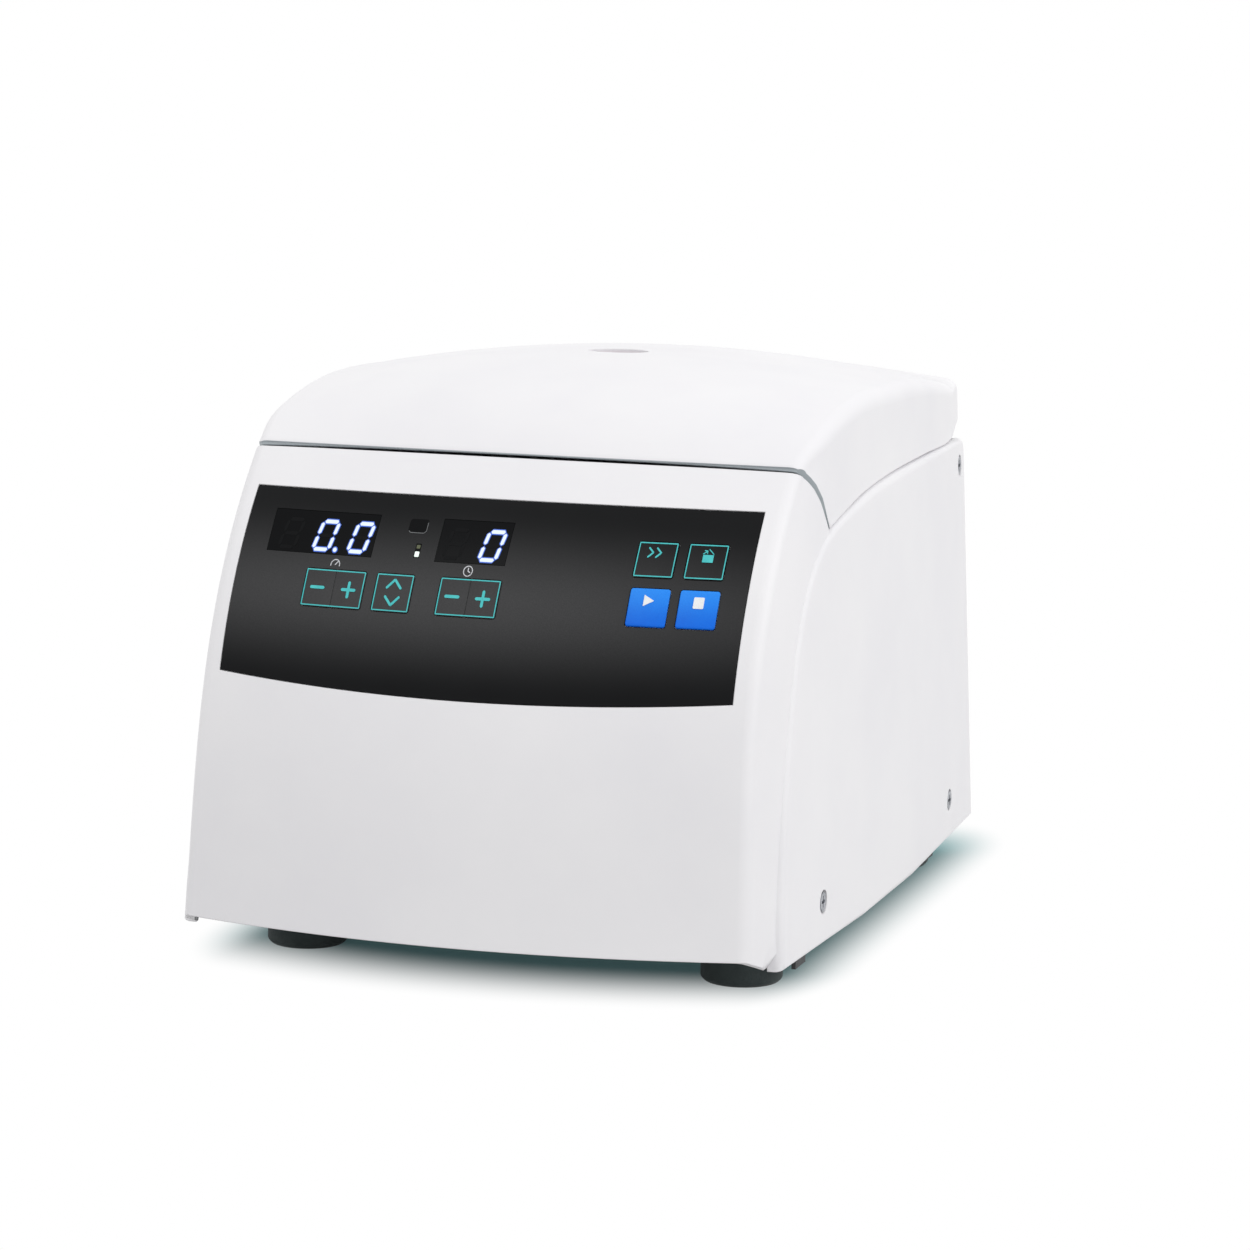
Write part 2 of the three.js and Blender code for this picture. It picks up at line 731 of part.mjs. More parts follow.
// Plan outline of the body at one height, set in from its surface, between two places along Y
function plan(z, setIn, front, rear, bow = 0) {
  const half = (y) => shellX(y, z) - setIn;
  const right = [];
  for (let step = 0; step <= lidSteps; step++) {
    const y = front + bow + (rear - front - bow) * (step / lidSteps);
    right.push([half(y), y]);
  }
  const across = [];
  for (let step = 1; step < acrossSteps; step++) {
    const share = 1 - 2 * step / acrossSteps;
    across.push([half(front + bow) * share, front + bow * share ** 2]);
  }
  const left = right.map(([x, y]) => [-x, y]).reverse();
  return [...right, ...left, ...across.reverse()];
}

// Half width of the front face at one height
function frontHalf(z) {
  const cornerY = frontY(z) + frontBow(z);
  const reach = Math.hypot(shellPole[0] - cornerY, shellPole[1] - z);
  const share = frontEdgeRadius / reach;
  return shellX(cornerY + (shellPole[0] - cornerY) * share, z + (shellPole[1] - z) * share);
}

function frontFace(x, z) {
  return new THREE.Vector3(x, frontY(z) + frontBow(z) * (x / frontHalf(z)) ** 2, z);
}

function frontNormal(x, z) {
  const along = frontFace(x + clearance, z).sub(frontFace(x - clearance, z));
  const up = frontFace(x, z + clearance).sub(frontFace(x, z - clearance));
  return along.cross(up).normalize();
}

// A point of the front face, moved out along its normal
function frontPoint(x, z, out) {
  return frontFace(x, z).addScaledVector(frontNormal(x, z), out);
}

// Edges of a patch of the front face: places along X, and low and high heights at each
function straightEdges([left, right], [low, high], grow) {
  return { x: [left - grow, right + grow], low: () => low - grow, high: () => high + grow, across: 1, up: 2 };
}

function panelEdges(grow) {
  const low = (x) => panelLow - grow + panelLowRise * ((x - panelMiddle) / panelHalf) ** 2;
  return { x: [panelMiddle - panelHalf - grow, panelMiddle + panelHalf + grow], low,
    high: () => panelTop + grow, across: acrossSteps, up: 4 };
}

// A slab between two depths along the front face
function frontPatch(edges, out, inner) {
  const places = [];
  const level = (edges.across + 1) * (edges.up + 1);
  for (const depth of [out, inner]) {
    for (let column = 0; column <= edges.across; column++) {
      const x = edges.x[0] + (edges.x[1] - edges.x[0]) * column / edges.across;
      for (let row = 0; row <= edges.up; row++) {
        const z = edges.low(x) + (edges.high(x) - edges.low(x)) * row / edges.up;
        places.push(frontPoint(x, z, depth).toArray());
      }
    }
  }
  const at = (layer, column, row) => layer * level + column * (edges.up + 1) + row;
  const faces = [];
  const quad = (a, b, c, d) => faces.push([a, b, c], [a, c, d]);
  for (let column = 0; column < edges.across; column++) {
    for (let row = 0; row < edges.up; row++) {
      quad(at(0, column, row), at(0, column + 1, row), at(0, column + 1, row + 1), at(0, column, row + 1));
      quad(at(1, column, row + 1), at(1, column + 1, row + 1), at(1, column + 1, row), at(1, column, row));
    }
    quad(at(1, column, 0), at(1, column + 1, 0), at(0, column + 1, 0), at(0, column, 0));
    quad(at(0, column, edges.up), at(0, column + 1, edges.up), at(1, column + 1, edges.up),
      at(1, column, edges.up));
  }
  for (let row = 0; row < edges.up; row++) {
    quad(at(0, 0, row), at(0, 0, row + 1), at(1, 0, row + 1), at(1, 0, row));
    quad(at(1, edges.across, row), at(1, edges.across, row + 1), at(0, edges.across, row + 1),
      at(0, edges.across, row));
  }
  return closed(places, faces);
}

// The control board lies flat behind the front face, square to the normal at its middle
const boardMiddle = frontFace(0, boardHeight);
const boardOut = frontNormal(0, boardHeight);
const boardUp = new THREE.Vector3(0, boardOut.z, -boardOut.y);

function boardPlace(along, depth) {
  return boardMiddle.clone().addScaledVector(boardUp, along).addScaledVector(boardOut, -depth);
}

function boardPosts() {
  let posts = null;
  for (const x of [-boardPostPlace, boardPostPlace]) {
    for (const along of [-boardPostRise, boardPostRise]) {
      const end = boardPlace(along, boardDepth - clearance).setX(x);
      const start = frontPoint(x, boardPlace(along, 0).z, -(panelRecess + housingWall) / 2);
      const reach = start.clone().sub(end).dot(boardOut);
      const foot = end.clone().addScaledVector(boardOut, reach);
      const post = bar(boardPost, foot.toArray(), end.toArray(), screwSteps);
      posts = posts ? posts.add(post) : post;
    }
  }
  return posts;
}

function makeLid() {
  const outline = shellOutline(sideBottom);
  const shell = loaf(outline, shellPole, shellX, shellDepthShares);
  const room = loaf(insetOutline(outline, lidWall), shellPole,
    (y, z) => shellX(y, z) - lidWall, shellDepthShares);
  const rearEdge = lidSideEdge[lidSideEdge.length - 1];
  const over = drawnX([[-bodyDepth, lidLow], ...tongueCurve, ...lidSideEdge, [bodyDepth, rearEdge[1]],
    [bodyDepth, crestHeight + overrun], [-bodyDepth, crestHeight + overrun]], -bodyWidth, bodyWidth);
  const bossHeight = windowSeat - windowLedge;
  const boss = bar(windowRadius + windowBoss, [0, rotorPlace, bossHeight], [0, rotorPlace, crestHeight])
    .intersect(shell);
  let body = shell.subtract(room).intersect(over).add(boss);
  body = body.subtract(bar(windowRadius, [0, rotorPlace, windowSeat],
    [0, rotorPlace, crestHeight + overrun]));
  body = body.subtract(bar(windowRadius - windowLedge, [0, rotorPlace, bossHeight - overrun],
    [0, rotorPlace, crestHeight + overrun]));
  for (const side of [-1, 1]) {
    const slotHalf = hingeLeaf / 2 + lidGap;
    body = body.subtract(block([side * hingePlace - slotHalf, lidRear - lidWall - 2 * lidGap, sideBottom],
      [side * hingePlace + slotHalf, lidRear + overrun, hingeZ + hingeEyeRadius + lidGap]));
  }
  return body;
}

const windowSeat = crestHeight - windowDrop - windowThick - clearance;
const linerTop = linerLow + linerThick;

function makeLiner() {
  const tubeTop = windowSeat - windowLedge - clearance;
  const bore = windowRadius - windowLedge;
  const sheet = drawnUp(plan(linerLow, housingWall + 2 * deckGap, linerFront, linerRear, frontBowTop),
    linerLow, linerTop);
  const tube = bar(bore + sightTubeWall, [0, rotorPlace, linerLow], [0, rotorPlace, tubeTop]);
  return sheet.add(tube).subtract(bar(bore, [0, rotorPlace, linerLow - overrun],
    [0, rotorPlace, tubeTop + overrun]));
}

function makeStriker() {
  const top = linerLow - clearance;
  const front = strikerPlace - strikerWide / 2;
  const rear = strikerPlace + strikerWide / 2;
  const blade = block([-strikerThick / 2, front, strikerLow], [strikerThick / 2, rear, top]);
  const foot = block([-strikerFoot / 2, front, top - strikerThick / 2], [strikerFoot / 2, rear, top]);
  const eyeHalf = strikerEye / 2;
  return blade.add(foot).subtract(block([-strikerThick, strikerPlace - eyeHalf, boltHeight - eyeHalf],
    [strikerThick, strikerPlace + eyeHalf, boltHeight + eyeHalf]));
}

// Hinge leaves: the bracket stands on the deck, and the lid's arm turns beside it on the pin
function makeBracket(side) {
  const inner = side * (hingePlace - hingeLeaf / 2);
  const outer = side * (hingePlace + hingeLeaf / 2);
  const [from, to] = side > 0 ? [inner, outer] : [outer, inner];
  const low = deckTop + clearance;
  const footHalf = hingeFootLong / 2;
  const stalk = drawnX([[hingeY - footHalf / 2, low], [hingeY + footHalf / 2, low],
    [hingeY + hingeEyeRadius, hingeZ], [hingeY - hingeEyeRadius, hingeZ]].reverse(), from, to);
  const eye = bar(hingeEyeRadius, [from, hingeY, hingeZ], [to, hingeY, hingeZ]);
  const foot = block([side * hingePlace - hingeFootWide / 2, hingeY - footHalf, low],
    [side * hingePlace + hingeFootWide / 2, hingeY + footHalf, low + hingeFootThick]);
  return stalk.add(eye).add(foot).subtract(bar(hingePinRadius + clearance,
    [from - overrun, hingeY, hingeZ], [to + overrun, hingeY, hingeZ], boltSteps));
}

function makeArm(side) {
  const near = hingePlace + hingeLeaf / 2 + clearance;
  const span = [side * near, side * (near + hingeLeaf)].sort((a, b) => a - b);
  const low = linerTop + clearance;
  const rear = hingeY - hingeArmReach;
  const eye = bar(hingeEyeRadius, [span[0], hingeY, hingeZ], [span[1], hingeY, hingeZ]);
  const beam = block([span[0], rear, low], [span[1], hingeY, low + hingeArmHigh]);
  const foot = block([Math.min(side * near, side * (near + hingeArmFoot)), rear, low],
    [Math.max(side * near, side * (near + hingeArmFoot)), linerRear - clearance, low + hingeFootThick]);
  return beam.add(eye).add(foot).subtract(bar(hingePinRadius + clearance,
    [span[0] - overrun, hingeY, hingeZ], [span[1] + overrun, hingeY, hingeZ], boltSteps));
}

function makePin(side) {
  const start = side * (hingePlace - hingeLeaf);
  const end = side * (hingePlace + hingeLeaf * 2);
  return bar(hingePinRadius, [start, hingeY, hingeZ], [end, hingeY, hingeZ], boltSteps);
}

// Deck: a tray on the side rails, open over the bowl, with a slot for the striker
function makeDeck() {
  const front = frontY(deckTop) + 2 * housingWall;
  const rear = halfDepth - housingWall - deckGap;
  const outline = plan(deckTop, housingWall + deckGap, front, rear, frontBow(deckTop));
  const inner = plan(deckTop, housingWall + deckGap + deckSkirtWall, -bodyDepth, bodyDepth);
  const under = deckTop - deckThick;
  const skirtLow = ledgeTop + clearance;
  const skirtFront = archPoints[4][0];
  let body = drawnUp(outline, skirtLow, deckTop);
  body = body.subtract(drawnUp(inner, skirtLow - overrun, under));
  body = body.subtract(block([-bodyWidth, -bodyDepth, skirtLow - overrun], [bodyWidth, skirtFront, under]));
  body = body.subtract(block([-hingePlace - overrun, hingeY, skirtLow - overrun],
    [hingePlace + overrun, bodyDepth, under]));
  body = body.subtract(bar(bowlRadius - bowlWall, [0, rotorPlace, under - overrun],
    [0, rotorPlace, deckTop + overrun], bowlSteps));
  body = body.subtract(block([-lockSlotHalf, strikerPlace - strikerSwingFront, under - overrun],
    [lockSlotHalf, strikerPlace + strikerSwingRear, deckTop + overrun]));
  const [y, z] = screwPlaces.top;
  const reach = sideX(y, z) + overrun;
  return body.subtract(bar(screwShank + clearance, [-reach, y, z], [reach, y, z], screwSteps));
}

function makeBowl() {
  const flangeTop = deckTop - deckThick - clearance;
  const outer = bowlRadius + bowlWall;
  const round = (radius, from, to) => {
    const arc = [];
    for (let step = 0; step <= cornerSteps; step++) {
      const angle = from + (to - from) * step / cornerSteps;
      arc.push([bowlRadius - bowlCorner + radius * Math.cos(angle),
        bowlFloor + bowlWall + bowlCorner + radius * Math.sin(angle)]);
    }
    return arc;
  };
  return turned([[bowlHole, bowlFloor], ...round(bowlCorner + bowlWall, -Math.PI / 2, 0),
    [outer, flangeTop - bowlWall], [outer + bowlFlange, flangeTop - bowlWall],
    [outer + bowlFlange, flangeTop], [bowlRadius, flangeTop], ...round(bowlCorner, 0, -Math.PI / 2),
    [bowlHole + bowlWall, bowlFloor + bowlWall], [bowlHole + bowlWall, bowlFloor + bowlCollar],
    [bowlHole, bowlFloor + bowlCollar]], 0, rotorPlace, bowlSteps);
}

function makeChamberSeal() {
  const low = deckTop + clearance;
  const lip = sealHigh - sealWide / 2;
  const inner = bowlRadius - clearance;
  return turned([[inner, low], [inner + sealWide, low], [inner + sealWide, low + lip / 2],
    [inner + sealWide / 2, low + sealHigh], [inner, low + sealHigh]], 0, rotorPlace, bowlSteps);
}

function makeShaftSeal() {
  const outer = bowlHole - clearance;
  const inner = spindleRadius + 2 * clearance;
  const rib = (outer - inner) / 4;
  return turned([[inner, bowlFloor], [outer, bowlFloor], [outer, bowlFloor + bowlCollar],
    [outer - rib, bowlFloor + bowlCollar], [outer - 2 * rib, bowlFloor + bowlCollar / 2],
    [outer - 3 * rib, bowlFloor + bowlCollar], [inner, bowlFloor + bowlCollar]], 0, rotorPlace);
}

function makeMotor() {
  const outline = [[0, motorLow], [motorRadius, motorLow]];
  const pitch = (motorHigh - motorLow) / (motorRibs + 1);
  for (let rib = 1; rib <= motorRibs; rib++) {
    const z = motorLow + pitch * rib;
    outline.push([motorRadius, z - motorRib], [motorRadius - 2 * motorRib, z - motorRib],
      [motorRadius - 2 * motorRib, z], [motorRadius, z]);
  }
  const shoulder = motorRadius - 2 * motorRib;
  const bore = spindleRadius + clearance;
  outline.push([motorRadius, motorHigh - 2 * motorRib], [shoulder, motorHigh], [bore, motorHigh],
    [bore, motorHigh - spindleDepth], [0, motorHigh - spindleDepth]);
  return turned(outline, 0, rotorPlace, roundSteps);
}

function makeMount(angle) {
  const x = motorMountCircle * Math.cos(angle);
  const y = rotorPlace + motorMountCircle * Math.sin(angle);
  const low = baseLow + baseThick + clearance;
  const high = motorLow - motorPlateThick - 2 * clearance;
  const waist = motorMountRadius * 0.8;
  const third = (high - low) / 3;
  return turned([[0, low], [motorMountRadius, low], [motorMountRadius, low + third / 2],
    [waist, low + third], [waist, high - third], [motorMountRadius, high - third / 2],
    [motorMountRadius, high], [0, high]], x, y, boltSteps);
}

function makeSpindle() {
  const seat = rotorTop - clearance;
  return turned([[0, motorHigh - spindleDepth + clearance],
    [spindleRadius, motorHigh - spindleDepth + clearance], [spindleRadius, seat], [studRadius, seat],
    [studRadius, rotorTop + knobHigh * 0.7], [0, rotorTop + knobHigh * 0.7]], 0, rotorPlace);
}

// Rotor: a disc with radial slots for capillary tubes that stop against a rubber ring in its rim
const rimInner = rotorRadius - rotorRimWide;
const grooveInner = rimInner - gasketWide - 2 * clearance;

function makeRotor() {
  const bore = spindleRadius + clearance;
  const under = rotorTop - rotorDisc;
  const rimTop = rotorTop + rotorRimHigh;
  const bevel = rotorRimWide / 3;
  const groove = rotorTop - gasketDeep - clearance;
  let body = turned([[bore, rotorLow], [rotorHubRadius, rotorLow], [rotorHubRadius, under - bevel],
    [rotorHubRadius + bevel, under], [rotorRadius - bevel, under + bevel], [rotorRadius, under + 2 * bevel],
    [rotorRadius, rimTop - bevel], [rotorRadius - bevel, rimTop], [rimInner + bevel, rimTop],
    [rimInner, rimTop - bevel], [rimInner, groove], [grooveInner, groove], [grooveInner, rotorTop],
    [bore, rotorTop]], 0, rotorPlace, rotorSteps);
  for (let index = 0; index < slotCount; index++) {
    const slot = block([slotStart, -slotWide / 2, rotorTop - slotDeep],
      [grooveInner + clearance, slotWide / 2, rotorTop + slotDeep]);
    body = body.subtract(slot.rotate([0, 0, 360 * index / slotCount]).translate([0, rotorPlace, 0]));
  }
  return body;
}

function makeGasket() {
  const low = rotorTop - gasketDeep;
  return turned([[grooveInner + clearance, low], [rimInner - clearance, low],
    [rimInner - clearance, low + gasketHigh], [grooveInner + clearance, low + gasketHigh]],
    0, rotorPlace, rotorSteps);
}

function makeRotorCover() {
  const low = rotorTop + clearance;
  const rim = grooveInner - clearance;
  const top = low + rotorCoverThick;
  return turned([[studRadius + clearance, low], [rim, low], [rim, top + rotorCoverBead],
    [rim - rotorCoverThick, top + rotorCoverBead], [rim - 2 * rotorCoverThick, top],
    [studRadius + clearance, top]], 0, rotorPlace, rotorSteps / 2);
}

function makeKnob() {
  const low = rotorTop + 2 * clearance + rotorCoverThick;
  const high = low + knobHigh;
  const stud = rotorTop + knobHigh * 0.7 + clearance;
  const bore = studRadius + clearance;
  const bevel = knobRadius / 7;
  let body = turned([[bore, low], [knobRadius, low], [knobRadius, high - bevel], [knobRadius - bevel, high],
    [0, high], [0, stud], [bore, stud]], 0, rotorPlace, 2 * roundSteps);
  for (let index = 0; index < knobGrips; index++) {
    const angle = 2 * Math.PI * index / knobGrips;
    const x = (knobRadius + knobGripRadius / 2) * Math.cos(angle);
    const y = rotorPlace + (knobRadius + knobGripRadius / 2) * Math.sin(angle);
    body = body.subtract(bar(knobGripRadius, [x, y, low + knobHigh / 4], [x, y, high + overrun], screwSteps));
  }
  return body;
}

// Lock: the bolt slides through the striker's eye
const lockTop = deckTop - deckThick - clearance;
const lockRear = rotorPlace - bowlRadius - bowlWall - bowlFlange - clearance;

function makeLockHousing() {
  const front = strikerPlace - lockDeep / 2;
  const shell = block([-lockWide / 2, front, lockTop - lockHigh], [lockWide / 2, lockRear, lockTop]);
  const slot = block([-lockSlotHalf, strikerPlace - strikerSwingFront, strikerLow - lockSlotHalf],
    [lockSlotHalf, strikerPlace + strikerSwingRear, lockTop + overrun]);
  return shell.subtract(slot).subtract(bar(boltRadius + clearance, [-lockWide, strikerPlace, boltHeight],
    [lockWide, strikerPlace, boltHeight], boltSteps));
}

function makeSolenoid() {
  const start = lockWide / 2 + clearance;
  const half = solenoidHigh / 2;
  const shell = block([start, strikerPlace - half, boltHeight - half],
    [start + solenoidLong, lockRear, boltHeight + half]);
  return shell.subtract(bar(boltRadius + clearance, [start - overrun, strikerPlace, boltHeight],
    [boltStart + boltLong + 4 * clearance, strikerPlace, boltHeight], boltSteps));
}

function makeFoil() {
  let body = frontPatch(panelEdges(0), 0, -foilThick);
  const openings = [...Object.values(keyPlaces), ...Object.values(displayPlaces),
    { x: lightSpan, z: lightRow }];
  for (const { x, z } of openings) {
    body = body.subtract(frontPatch(straightEdges(x, z, clearance), overrun / 2, -2 * foilThick));
  }
  return body;
}

const lightSpan = [lightPlace - lightWide / 2, lightPlace + lightWide / 2];

function makeScrew([y, z], side) {
  const seat = sideX(y, z) - screwRecessDeep + clearance;
  const slotHalf = screwHead / 6;
  const head = bar(screwHead, [side * seat, y, z], [side * (seat + screwHeadHigh), y, z], boltSteps);
  const shank = bar(screwShank, [side * (seat + screwHeadHigh / 2), y, z],
    [side * (seat - screwLong), y, z], screwSteps);
  const driveLow = seat + screwHeadHigh / 2;
  const [inner, outer] = [side * driveLow, side * (driveLow + overrun)].sort((a, b) => a - b);
  const reach = screwHead * 0.6;
  const drive = block([inner, y - reach, z - slotHalf], [outer, y + reach, z + slotHalf]);
  const cross = block([inner, y - slotHalf, z - reach], [outer, y + slotHalf, z + reach]);
  return head.add(shank).subtract(drive).subtract(cross);
}

function makeBase() {
  const rear = halfDepth - housingWall - baseSetIn;
  let body = drawnUp(plan(baseLow, housingWall + baseSetIn, baseFront, rear), baseLow, baseLow + baseThick);
  for (const key of ['front', 'rear']) {
    const [y, z] = screwPlaces[key];
    const face = sideX(y, z) - housingWall - screwBossDeep - clearance;
    for (const side of [-1, 1]) {
      const span = [side * face, side * (face - baseFlangeThick)].sort((a, b) => a - b);
      const flange = block([span[0], y - baseFlangeLong / 2, baseLow],
        [span[1], y + baseFlangeLong / 2, baseLow + baseFlangeHigh]);
      body = body.add(flange).subtract(bar(screwShank + clearance, [span[0] - overrun, y, z],
        [span[1] + overrun, y, z], screwSteps));
      const tab = span.map((x) => x - side * baseTabIn);
      body = body.add(block([tab[0], y - baseFlangeLong / 2, baseLow - baseTabDrop],
        [tab[1], y + baseFlangeLong / 2, baseLow + baseThick / 2]));
    }
  }
  return body;
}

function makeFoot(x, y) {
  const top = baseLow - clearance;
  return turned([[0, 0], [footRadius - footTaper, 0], [footRadius - footTaper / 3, footTaper / 3],
    [footRadius, footTaper], [footRadius, top * 0.6], [footRadius - footWaist, top * 0.7],
    [footRadius - footWaist, top], [0, top]], x, y);
}

function makePowerBoard() {
  const low = baseLow + baseThick + powerBoardRise;
  const halfLong = powerBoardLong / 2;
  const halfWide = powerBoardWide / 2;
  const top = low + boardThick;
  let body = block([-halfWide, powerBoardPlace - halfLong, low],
    [halfWide, powerBoardPlace + halfLong, top]);
  for (const x of [-halfWide + 2 * powerPost, halfWide - 2 * powerPost]) {
    for (const reach of [2 * powerPost - halfLong, halfLong - 2 * powerPost]) {
      const y = powerBoardPlace + reach;
      body = body.add(bar(powerPost, [x, y, baseLow + baseThick + clearance],
        [x, y, low + boardThick / 2], screwSteps));
    }
  }
  const sunk = top - boardThick / 2;
  body = body.add(block([0, powerBoardPlace - transformerLong / 2, sunk],
    [transformerWide, powerBoardPlace + transformerLong / 2, top + transformerHigh]));
  for (const reach of [-capacitorPitch / 2, capacitorPitch / 2]) {
    const y = powerBoardPlace + reach;
    body = body.add(bar(capacitorRadius, [-capacitorPlace, y, sunk],
      [-capacitorPlace, y, top + capacitorHigh], boltSteps));
  }
  return body;
}

const rearFace = halfDepth - housingWall - clearance;

function makeRearPanel() {
  const low = baseLow + baseThick + clearance;
  const inner = rearFace - rearPanelThick;
  let body = block([-rearPanelHalf, inner, low], [rearPanelHalf, rearFace, rearPanelHigh]);
  body = body.add(block([-rearPanelHalf, rearFace - rearPanelFoot, low],
    [rearPanelHalf, rearFace, low + rearPanelThick]));
  const room = inletRim - clearance;
  body = body.subtract(block([inletPlace - inletWide / 2 + room, rearFace - overrun,
    inletHeight - inletTall / 2 + room], [inletPlace + inletWide / 2 - room, rearFace + overrun,
    inletHeight + inletTall / 2 - room]));
  for (let index = 0; index < ventCount; index++) {
    const x = ventPlace + (index - (ventCount - 1) / 2) * ventPitch;
    body = body.subtract(block([x - ventWide / 2, rearFace - overrun / 2, ventHeight - ventTall / 2],
      [x + ventWide / 2, rearFace + overrun, ventHeight + ventTall / 2]));
  }
  return body;
}

const inletBack = rearFace + clearance;
const inletFront = inletBack + inletFlange;
const socketHeight = inletHeight - socketDrop;
const drawerHeight = inletHeight + drawerRise;
const rockerPivot = inletFront - rockerPivotIn;

function makeInlet() {
  const halfWide = inletWide / 2;
  const halfTall = inletTall / 2;
  let body = block([inletPlace - halfWide, inletBack, inletHeight - halfTall],
    [inletPlace + halfWide, inletFront, inletHeight + halfTall]);
  body = body.add(block([inletPlace - halfWide + inletRim, inletBack - inletDeep,
    inletHeight - halfTall + inletRim], [inletPlace + halfWide - inletRim, inletFront,
    inletHeight + halfTall - inletRim]));
  const floor = inletFront - socketDeep;
  body = body.subtract(block([socketPlace - socketWide / 2, floor, socketHeight - socketTall / 2],
    [socketPlace + socketWide / 2, inletFront + overrun, socketHeight + socketTall / 2]));
  for (const place of [-1, 0, 1]) {
    const x = socketPlace + place * socketPinSpread;
    const z = socketHeight + (place === 0 ? socketPinRise : -socketPinRise);
    body = body.add(block([x - socketPinWide / 2, floor - clearance, z - socketPinTall / 2],
      [x + socketPinWide / 2, floor + socketPinLong, z + socketPinTall / 2]));
  }
  const drawerHalf = drawerWide / 2 + clearance;
  body = body.subtract(block([socketPlace - drawerHalf, inletFront - drawerDeep - clearance,
    drawerHeight - drawerTall / 2 - clearance], [socketPlace + drawerHalf, inletFront + overrun,
    drawerHeight + drawerTall / 2 + clearance]));
  const rockerHalf = rockerWide / 2 + clearance;
  const rockerTop = rockerHalfTall + rockerRoom;
  const rockerFloor = rockerPivot - rockerThick - 2 * rockerRoom - rockerEdge;
  body = body.subtract(block([rockerPlace - rockerHalf, rockerFloor, inletHeight - rockerTop],
    [rockerPlace + rockerHalf, inletFront + overrun, inletHeight + rockerTop]));
  const pinHalf = rockerHalf + rockerPinLong;
  return body.subtract(bar(rockerPin + clearance, [rockerPlace - pinHalf, rockerPivot, inletHeight],
    [rockerPlace + pinHalf, rockerPivot, inletHeight], screwSteps));
}

function makeDrawer() {
  const lipHalf = drawerWide / 2 + drawerLipRim;
  const lipLow = inletFront + clearance;
  const lip = block([socketPlace - lipHalf, lipLow, drawerHeight - drawerTall / 2 - drawerLipRim],
    [socketPlace + lipHalf, lipLow + drawerLip, drawerHeight + drawerTall / 2 + drawerLipRim]);
  const body = block([socketPlace - drawerWide / 2, inletFront - drawerDeep, drawerHeight - drawerTall / 2],
    [socketPlace + drawerWide / 2, lipLow + drawerLip / 2, drawerHeight + drawerTall / 2]);
  return lip.add(body);
}

function makeRocker() {
  const half = rockerWide / 2;
  const tilt = rockerTilt * Math.PI / 180;
  const back = rockerHalfTall * 0.9;
  const outline = [[-rockerThick, -back], [rockerEdge, -rockerHalfTall], [rockerDip, 0],
    [rockerEdge, rockerHalfTall], [-rockerThick, back]];
  const turned = outline.map(([y, z]) => [rockerPivot + y * Math.cos(tilt) - z * Math.sin(tilt),
    inletHeight + y * Math.sin(tilt) + z * Math.cos(tilt)]);
  const cap = drawnX(turned, rockerPlace - half, rockerPlace + half);
  const pinHalf = half + rockerPinLong;
  return cap.add(bar(rockerPin, [rockerPlace - pinHalf, rockerPivot, inletHeight],
    [rockerPlace + pinHalf, rockerPivot, inletHeight], screwSteps));
}

piece('housing', makeHousing(), white);
piece('lid', makeLid(), white);
piece('lid_liner', makeLiner(), greyPaint);
piece('sight_window', bar(windowRadius - clearance, [0, rotorPlace, windowSeat + clearance],
  [0, rotorPlace, windowSeat + clearance + windowThick]), clear);
piece('lid_striker', makeStriker(), steel);
for (const [name, side] of [['left', -1], ['right', 1]]) {
  piece(`${name}_lid_arm`, makeArm(side), steel);
  piece(`${name}_hinge_bracket`, makeBracket(side), steel);
  piece(`${name}_hinge_pin`, makePin(side), steel);
}
piece('deck', makeDeck(), white);
piece('chamber_bowl', makeBowl(), steel);
piece('chamber_seal', makeChamberSeal(), rubber);
piece('shaft_seal', makeShaftSeal(), rubber);
piece('motor', makeMotor(), alloy);
piece('motor_plate', bar(motorPlateRadius, [0, rotorPlace, motorLow - motorPlateThick - clearance],
  [0, rotorPlace, motorLow - clearance], 2 * roundSteps), steel);
['front', 'right', 'left'].forEach((name, index) => {
  const angle = -Math.PI / 2 + 2 * Math.PI * index / 3;
  piece(`${name}_motor_mount`, makeMount(angle), rubber);
});
piece('spindle', makeSpindle(), steel);
piece('rotor', makeRotor(), alloy);
piece('rotor_gasket', makeGasket(), rubber);
piece('rotor_cover', makeRotorCover(), alloy);
piece('cover_knob', makeKnob(), darkPlastic);
piece('lock_housing', makeLockHousing(), darkPlastic);
piece('lock_bolt', bar(boltRadius, [boltStart, strikerPlace, boltHeight],
  [boltStart + boltLong, strikerPlace, boltHeight], boltSteps), steel);
piece('lock_solenoid', makeSolenoid(), greyPaint);
piece('control_foil', makeFoil(), black);
for (const [name, { x, z, proud }] of Object.entries(keyPlaces)) {
  const look = proud > keyProud ? keyBlue : black;
  piece(name, frontPatch(straightEdges(x, z, 0), proud, proud - keyThick), look);
}
for (const [name, { x, z }] of Object.entries(displayPlaces)) {
  piece(`${name}_window`, frontPatch(straightEdges(x, z, 0), 0, -foilThick), black);
  piece(name, frontPatch(straightEdges(x, z, -displayRim - clearance), -panelRecess,
    -panelRecess - displayDeep), darkPlastic);
}
piece('unit_lights', frontPatch(straightEdges(lightSpan, lightRow, 0), 0, -foilThick), clear);
const boardEdge = boardTall / 2;
const boardBack = boardDepth + boardThick;
const boardCorners = [[-boardEdge, boardDepth], [boardEdge, boardDepth], [boardEdge, boardBack],
  [-boardEdge, boardBack]].map(([along, depth]) => boardPlace(along, depth));
piece('control_board', drawnX(boardCorners.map((corner) => [corner.y, corner.z]), -boardHalf,
  boardHalf), boardGreen);
for (const [side, sign] of [['left', -1], ['right', 1]]) {
  for (const [place, spot] of Object.entries(screwPlaces)) {
    piece(`${side}_${place}_screw`, makeScrew(spot, sign), steel);
  }
}
piece('base_pan', makeBase(), blackPaint);
